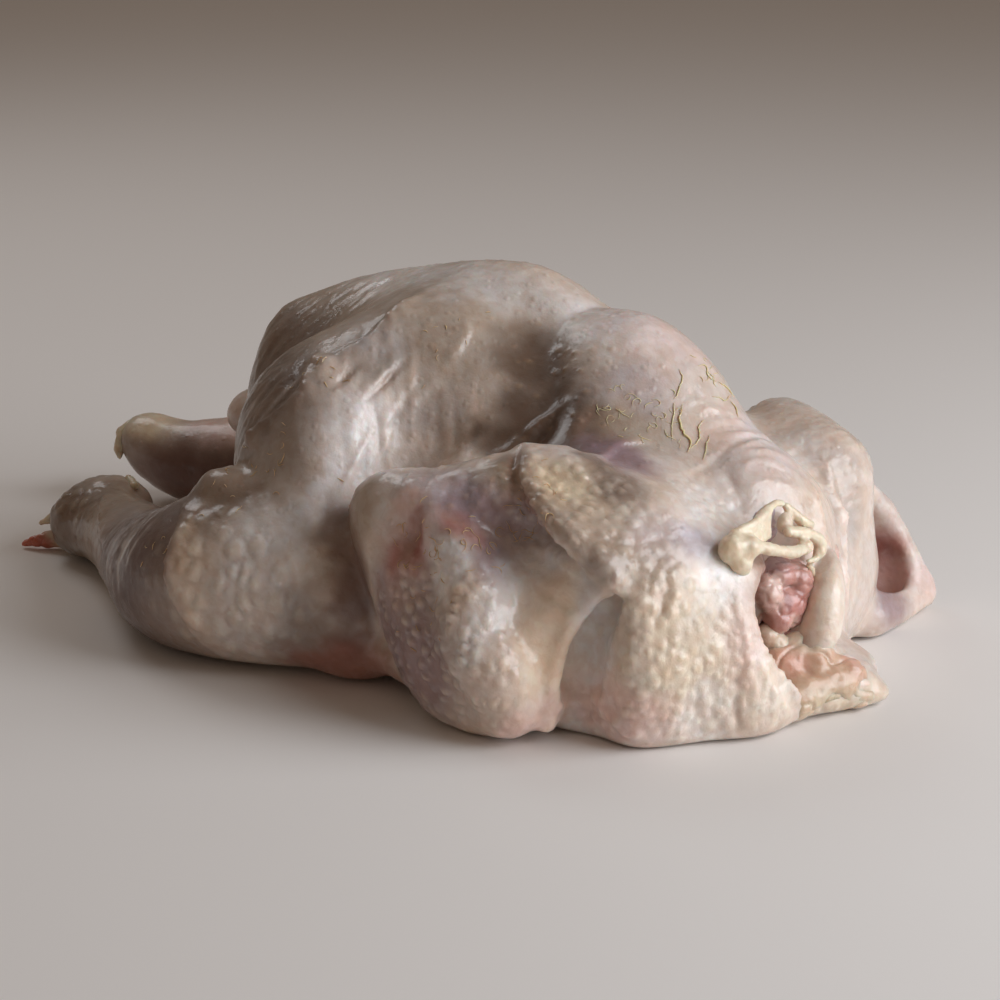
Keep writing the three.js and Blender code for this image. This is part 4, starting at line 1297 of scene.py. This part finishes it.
ASKEW = (0.3, 0.5, 0.81)  # a way that no thread runs along
FILAMENT_LIFT = 0.8  # in radii
POINTED = 0.25  # how near to a point a thread's ends come, in radians of its taper


def thread_tube(path, radius):
    """A closed four-sided tube along a path, pointed at both ends."""
    path = np.array(path)
    along = np.gradient(path, axis=0)
    along /= np.maximum(np.linalg.norm(along, axis=1, keepdims=True), 1e-6)
    across = np.cross(along, ASKEW)
    across /= np.maximum(np.linalg.norm(across, axis=1, keepdims=True), 1e-6)
    upward = np.cross(across, along)
    taper = np.sin(np.linspace(POINTED, math.pi - POINTED, len(path)))[:, None] * radius
    rings = [path + taper * side for side in (across, upward, -across, -upward)]
    points = np.stack(rings, 1).reshape(-1, 3)
    quads = [(3, 2, 1, 0)]
    for ring in range(len(path) - 1):
        base = 4 * ring
        for side in range(4):
            after = (side + 1) % 4
            quads.append((base + side, base + after, base + 4 + after, base + 4 + side))
    last = 4 * (len(path) - 1)
    quads.append((last, last + 1, last + 2, last + 3))
    return points, np.array(quads)


class Skin:
    """The finished surface, for laying things on it."""

    def __init__(self, points, normals):
        self.points = points
        self.normals = normals
        self.tree = KDTree(len(points))
        for index, point in enumerate(points):
            self.tree.insert(point, index)
        self.tree.balance()

    def lay(self, spot, height):
        """The spot moved to that height over the skin, and the skin's normal there."""
        index = self.tree.find(spot)[1]
        normal = self.normals[index]
        return spot - normal * ((spot - self.points[index]) @ normal - height), normal


def lay_filament(skin, way, radius, dice):
    curve = smooth_stations([(*spot, 0) for spot in way], 8)[:, :3].astype(float)
    curve += np.cumsum(dice.normal(0, WOBBLE, curve.shape), 0)
    return [skin.lay(spot, FILAMENT_LIFT * radius)[0] for spot in curve]


def lay_shred(skin, centre, reach, longest, dice):
    """A short walk over the skin that keeps turning."""
    spot, normal = skin.lay(np.array(centre) + dice.normal(0, SHRED_SPREAD * reach, 3), 0)
    heading = np.cross(normal, dice.normal(0, 1, 3))
    heading /= np.linalg.norm(heading)
    turn = dice.normal(0, SHRED_TURN)
    path = []
    for _ in range(int(dice.uniform(SHORTEST_SHARE, 1) * longest / THREAD_STEP)):
        spot, normal = skin.lay(spot + heading * THREAD_STEP, SHRED_LIFT)
        path.append(spot)
        turn = TURN_KEPT * turn + dice.normal(0, SHRED_CURL)
        heading = heading + turn * np.cross(normal, heading)
        heading -= normal * (heading @ normal)
        heading /= np.linalg.norm(heading)
    return path


def make_threads(skin, material):
    dice = np.random.default_rng(THREAD_SEED)
    tubes = []
    for radius, way in FILAMENTS:
        tubes.append((*thread_tube(lay_filament(skin, way, radius, dice), radius), STRAW))
    for centre, reach, count, longest, colour in SHREDS:
        for _ in range(count):
            path = lay_shred(skin, centre, reach, longest, dice)
            if len(path) > 3:
                tubes.append((*thread_tube(path, dice.uniform(*SHRED_RADII)), colour))
    start = np.cumsum([0] + [len(points) for points, _, _ in tubes])
    points = np.concatenate([points for points, _, _ in tubes])
    quads = np.concatenate([quads + first for (_, quads, _), first in zip(tubes, start)])
    colours = np.concatenate([np.tile(colour, (len(spots), 1)) for spots, _, colour in tubes])
    make_piece("skin_threads", points, quads, colours, material)


# ------------------------------------------------------------------ the bird


def make_body():
    flesh = Flesh([graded_axis(*ends) for ends in zip(REACH_LOW, REACH_HIGH, FINE_LOW, FINE_HIGH)])
    add_trunk(flesh)
    add_legs(flesh)
    add_near_wing(flesh)
    add_far_wing(flesh)
    add_neck(flesh)
    flesh.settle(TABLE_EDGE)
    points, quads = skin_grid(flesh)
    return relax(points, quads, 3), quads


def make_mesh(name, points, quads):
    mesh = bpy.data.meshes.new(name)
    mesh.vertices.add(len(points))
    mesh.vertices.foreach_set("co", ((points + ORIGIN) * MM).astype(np.float32).ravel())
    mesh.loops.add(quads.size)
    mesh.loops.foreach_set("vertex_index", quads.astype(np.int32).ravel())
    mesh.polygons.add(len(quads))
    mesh.polygons.foreach_set("loop_start", np.arange(0, quads.size, 4, dtype=np.int32))
    mesh.update(calc_edges=True)
    mesh.validate()
    mesh.shade_smooth()
    piece = bpy.data.objects.new(name, mesh)
    bpy.context.scene.collection.objects.link(piece)
    return piece


def colour_points(piece, colours):
    layer = piece.data.color_attributes.new("tint", "FLOAT_COLOR", "POINT")
    rgba = np.ones((len(colours), 4), np.float32)
    rgba[:, :3] = np.clip(colours, 0, 1)
    layer.data.foreach_set("color", rgba.ravel())


MIX_SHARE, MIX_A, MIX_B, MIX_OUT = 0, 6, 7, 2  # the colour sockets of a Mix node


class Nodes:
    """Short ways to add and link shader nodes."""

    def __init__(self, name):
        self.material = bpy.data.materials.new(name)
        self.material.use_nodes = True
        self.tree = self.material.node_tree
        self.shader = self.tree.nodes["Principled BSDF"]
        self.place = self.add("TexCoord", {}).outputs["Object"]

    def fill(self, node, inputs):
        """Gives each input a plain value or the output of another node."""
        for name, value in inputs.items():
            if isinstance(value, bpy.types.NodeSocket):
                self.tree.links.new(value, node.inputs[name])
            else:
                node.inputs[name].default_value = value

    def add(self, kind, inputs, **options):
        node = self.tree.nodes.new("ShaderNode" + kind)
        for option, choice in options.items():
            setattr(node, option, choice)
        self.fill(node, inputs)
        return node

    def noise(self, size, detail, roughness, distortion=0.0):
        """Noise from 0 to 1 with features of about `size` millimetres."""
        inputs = {"Vector": self.place, "Scale": 1 / (size * MM), "Detail": detail}
        inputs |= {"Roughness": roughness, "Distortion": distortion}
        return self.add("TexNoise", inputs).outputs["Fac"]

    def ramp(self, value, low, high, low_out=0.0, high_out=1.0):
        inputs = {"Value": value, "From Min": low, "From Max": high}
        inputs |= {"To Min": low_out, "To Max": high_out}
        return self.add("MapRange", inputs, interpolation_type="SMOOTHSTEP").outputs["Result"]

    def domes(self, size, reach):
        """Small domes that stand apart, about `size` millimetres from each other."""
        inputs = {"Vector": self.place, "Scale": 1 / (size * MM), "Randomness": 0.8}
        return self.ramp(self.add("TexVoronoi", inputs).outputs["Distance"], 0, reach, 1, 0)

    def mix(self, share, under, over, blend="MIX"):
        """One colour laid over another, by `share`."""
        inputs = {MIX_SHARE: share, MIX_A: under, MIX_B: over}
        return self.add("Mix", inputs, data_type="RGBA", blend_type=blend).outputs[MIX_OUT]

    def bump(self, height, depth, strength, under=None):
        """Bumps `depth` millimetres deep, on top of the bumps under them."""
        inputs = {"Height": height, "Distance": depth * MM, "Strength": strength}
        if under is not None:
            inputs["Normal"] = under
        return self.add("Bump", inputs).outputs["Normal"]

    def bumps(self, layers):
        normal = None
        for noise, depth, strength in layers:
            normal = self.bump(self.noise(*noise), depth, strength, normal)
        return normal


# What is too fine for the mesh. Noise is size, detail, roughness and distortion.
MOTTLE = (3.6, 3, 0.55, 0.5)
PALER = (1.05, 1.05, 1.05, 1)
ROSIER = (0.98, 0.92, 0.88, 1)
MOTTLE_RANGE = (0.36, 0.64)
SPECKS = (1.2, 3, 0.6)
SPECK_RANGE = (0.64, 0.76, 0, 0.35)
SPECK = (0.78, 0.62, 0.48, 1)
DRY_PATCHES = (6, 3, 0.6)
DRY_RANGE = (0.35, 0.65)
# Noise, depth and strength: the skin's pores, creases and ripples, and its film of water.
SKIN_BUMPS = [
    ((0.6, 2, 0.5), 0.06, 0.7),
    ((1.5, 2, 0.6, 0.8), 0.1, 0.7),
    ((3.2, 2, 0.5, 0.4), 0.2, 0.6),
]
FILM_BUMPS = [((1.3, 2, 0.5), 0.13, 0.6), ((3, 3, 0.5, 0.5), 0.34, 0.6)]
DOME_SIZE = 3.6
DOME_REACH = 0.34
DOME_DEPTH = 0.22
# Name, range of roughness, coat, and how far light scatters in it, mm.
RAW_SKIN = ("raw_skin", (0.3, 0.48), 0.5, 1.8)
RAW_FAT = ("raw_fat", (0.26, 0.4), 0.4, 3.0)
RAW_MEAT = ("raw_meat", (0.2, 0.34), 0.5, 2.4)


def wet_material(name, roughness, coat, scatter):
    """Moist flesh: the tint of its points, mottled, under a wet film."""
    nodes = Nodes(name)
    tint = nodes.add("Attribute", {}, attribute_name="tint").outputs["Color"]
    pale = nodes.mix(1.0, tint, PALER, "MULTIPLY")
    rosy = nodes.mix(1.0, tint, ROSIER, "MULTIPLY")
    colour = nodes.mix(nodes.ramp(nodes.noise(*MOTTLE), *MOTTLE_RANGE), rosy, pale)
    specks = nodes.ramp(nodes.noise(*SPECKS), *SPECK_RANGE)
    domes = nodes.domes(DOME_SIZE, DOME_REACH)
    surface = {
        "Base Color": nodes.mix(specks, colour, SPECK, "MULTIPLY"),
        "Normal": nodes.bump(domes, DOME_DEPTH, 0.7, nodes.bumps(SKIN_BUMPS)),
        "Coat Normal": nodes.bumps(FILM_BUMPS),
        "Roughness": nodes.ramp(nodes.noise(*DRY_PATCHES), *DRY_RANGE, *roughness),
        "Specular IOR Level": 0.4,
        "Coat Weight": coat,
        "Coat Roughness": 0.07,
        "Subsurface Weight": 0.45,
        "Subsurface Radius": (1.0, 0.42, 0.28),
        "Subsurface Scale": scatter * MM,
    }
    nodes.fill(nodes.shader, surface)
    return nodes.material


def make_piece(name, points, quads, colours, material):
    piece = make_mesh(name, points, quads)
    colour_points(piece, colours)
    piece.data.materials.append(material)
    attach(piece, "root")
    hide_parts("chicken")


def make_chicken():
    skin = wet_material(*RAW_SKIN)
    fat = wet_material(*RAW_FAT)
    meat = wet_material(*RAW_MEAT)
    points, quads = make_body()
    normals = vertex_normals(points, quads)
    lift, marks = find_relief(points, normals)
    colours = skin_colours(points, normals, marks)
    points = points + normals * lift[:, None]
    make_piece("chicken_skin", points, quads, colours, skin)
    make_threads(Skin(points, vertex_normals(points, quads)), fat)
    make_neck(meat, fat)
    make_leg_ends(fat)


# ------------------------------------------------------------------ studio

# Lights: name, metres to the view's right, towards the camera and up, size, watts and colour.
LIGHTS = [
    ("window", (0.82, 0.32, 0.42), 0.8, 9.4, (0.95, 0.99, 1.05)),
    ("rim", (-0.5, -0.6, 0.75), 0.45, 1.35, (0.97, 0.98, 1.0)),
]
SQUARE = ((-1, -1), (1, -1), (1, 1), (-1, 1))
FLOOR_HALF = 3.0
FLOOR_COLOUR = (0.86, 0.83, 0.80, 1)
FLOOR_ROUGHNESS = 0.7
WORLD_COLOUR = (1, 0.78, 0.62, 1)
WORLD_STRENGTH = 0.165


def view_axes():
    """The way from the bird back to the camera, and the way to the view's right."""
    azimuth = math.radians(CAMERA_AZIMUTH)
    elevation = math.radians(CAMERA_ELEVATION)
    flat = math.cos(elevation)
    back = (math.sin(azimuth) * flat, -math.cos(azimuth) * flat, math.sin(elevation))
    return Vector(back), Vector((math.cos(azimuth), math.sin(azimuth), 0))


def camera_target():
    return Vector([(t + o) * MM for t, o in zip(CAMERA_TARGET, ORIGIN)])


def make_camera():
    back, _ = view_axes()
    data = bpy.data.cameras.new("camera")
    data.sensor_width = CAMERA_SENSOR
    data.lens = CAMERA_LENS
    data.clip_start = 0.01
    camera = bpy.data.objects.new("camera", data)
    camera.location = camera_target() + back * CAMERA_DISTANCE * MM
    camera.rotation_euler = back.to_track_quat("Z", "Y").to_euler()
    bpy.context.scene.collection.objects.link(camera)
    bpy.context.scene.camera = camera


def add_light(name, offset, size, watts, colour):
    data = bpy.data.lights.new(name, "AREA")
    data.shape = "SQUARE"
    data.size = size
    data.energy = watts
    data.color = colour
    lamp = bpy.data.objects.new(name, data)
    back, right = view_axes()
    flat_back = Vector((back.x, back.y, 0)).normalized()
    aim = right * offset[0] + flat_back * offset[1] + Vector((0, 0, offset[2]))
    lamp.location = camera_target() + aim
    lamp.rotation_euler = aim.to_track_quat("Z", "Y").to_euler()
    bpy.context.scene.collection.objects.link(lamp)


def make_floor():
    mesh = bpy.data.meshes.new("floor")
    corners = [(u * FLOOR_HALF, v * FLOOR_HALF, 0) for u, v in SQUARE]
    mesh.from_pydata(corners, [], [(0, 1, 2, 3)])
    floor = bpy.data.objects.new("floor", mesh)
    bpy.context.scene.collection.objects.link(floor)
    material = bpy.data.materials.new("pale_floor")
    material.use_nodes = True
    shader = material.node_tree.nodes["Principled BSDF"]
    shader.inputs["Base Color"].default_value = FLOOR_COLOUR
    shader.inputs["Roughness"].default_value = FLOOR_ROUGHNESS
    mesh.materials.append(material)


def make_studio():
    make_floor()
    world = bpy.data.worlds.new("studio")
    world.use_nodes = True
    background = world.node_tree.nodes["Background"]
    background.inputs["Color"].default_value = WORLD_COLOUR
    background.inputs["Strength"].default_value = WORLD_STRENGTH
    bpy.context.scene.world = world
    for light in LIGHTS:
        add_light(*light)
    bpy.context.scene.view_settings.view_transform = "Standard"


def main():
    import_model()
    make_chicken()
    make_studio()
    make_camera()


main()
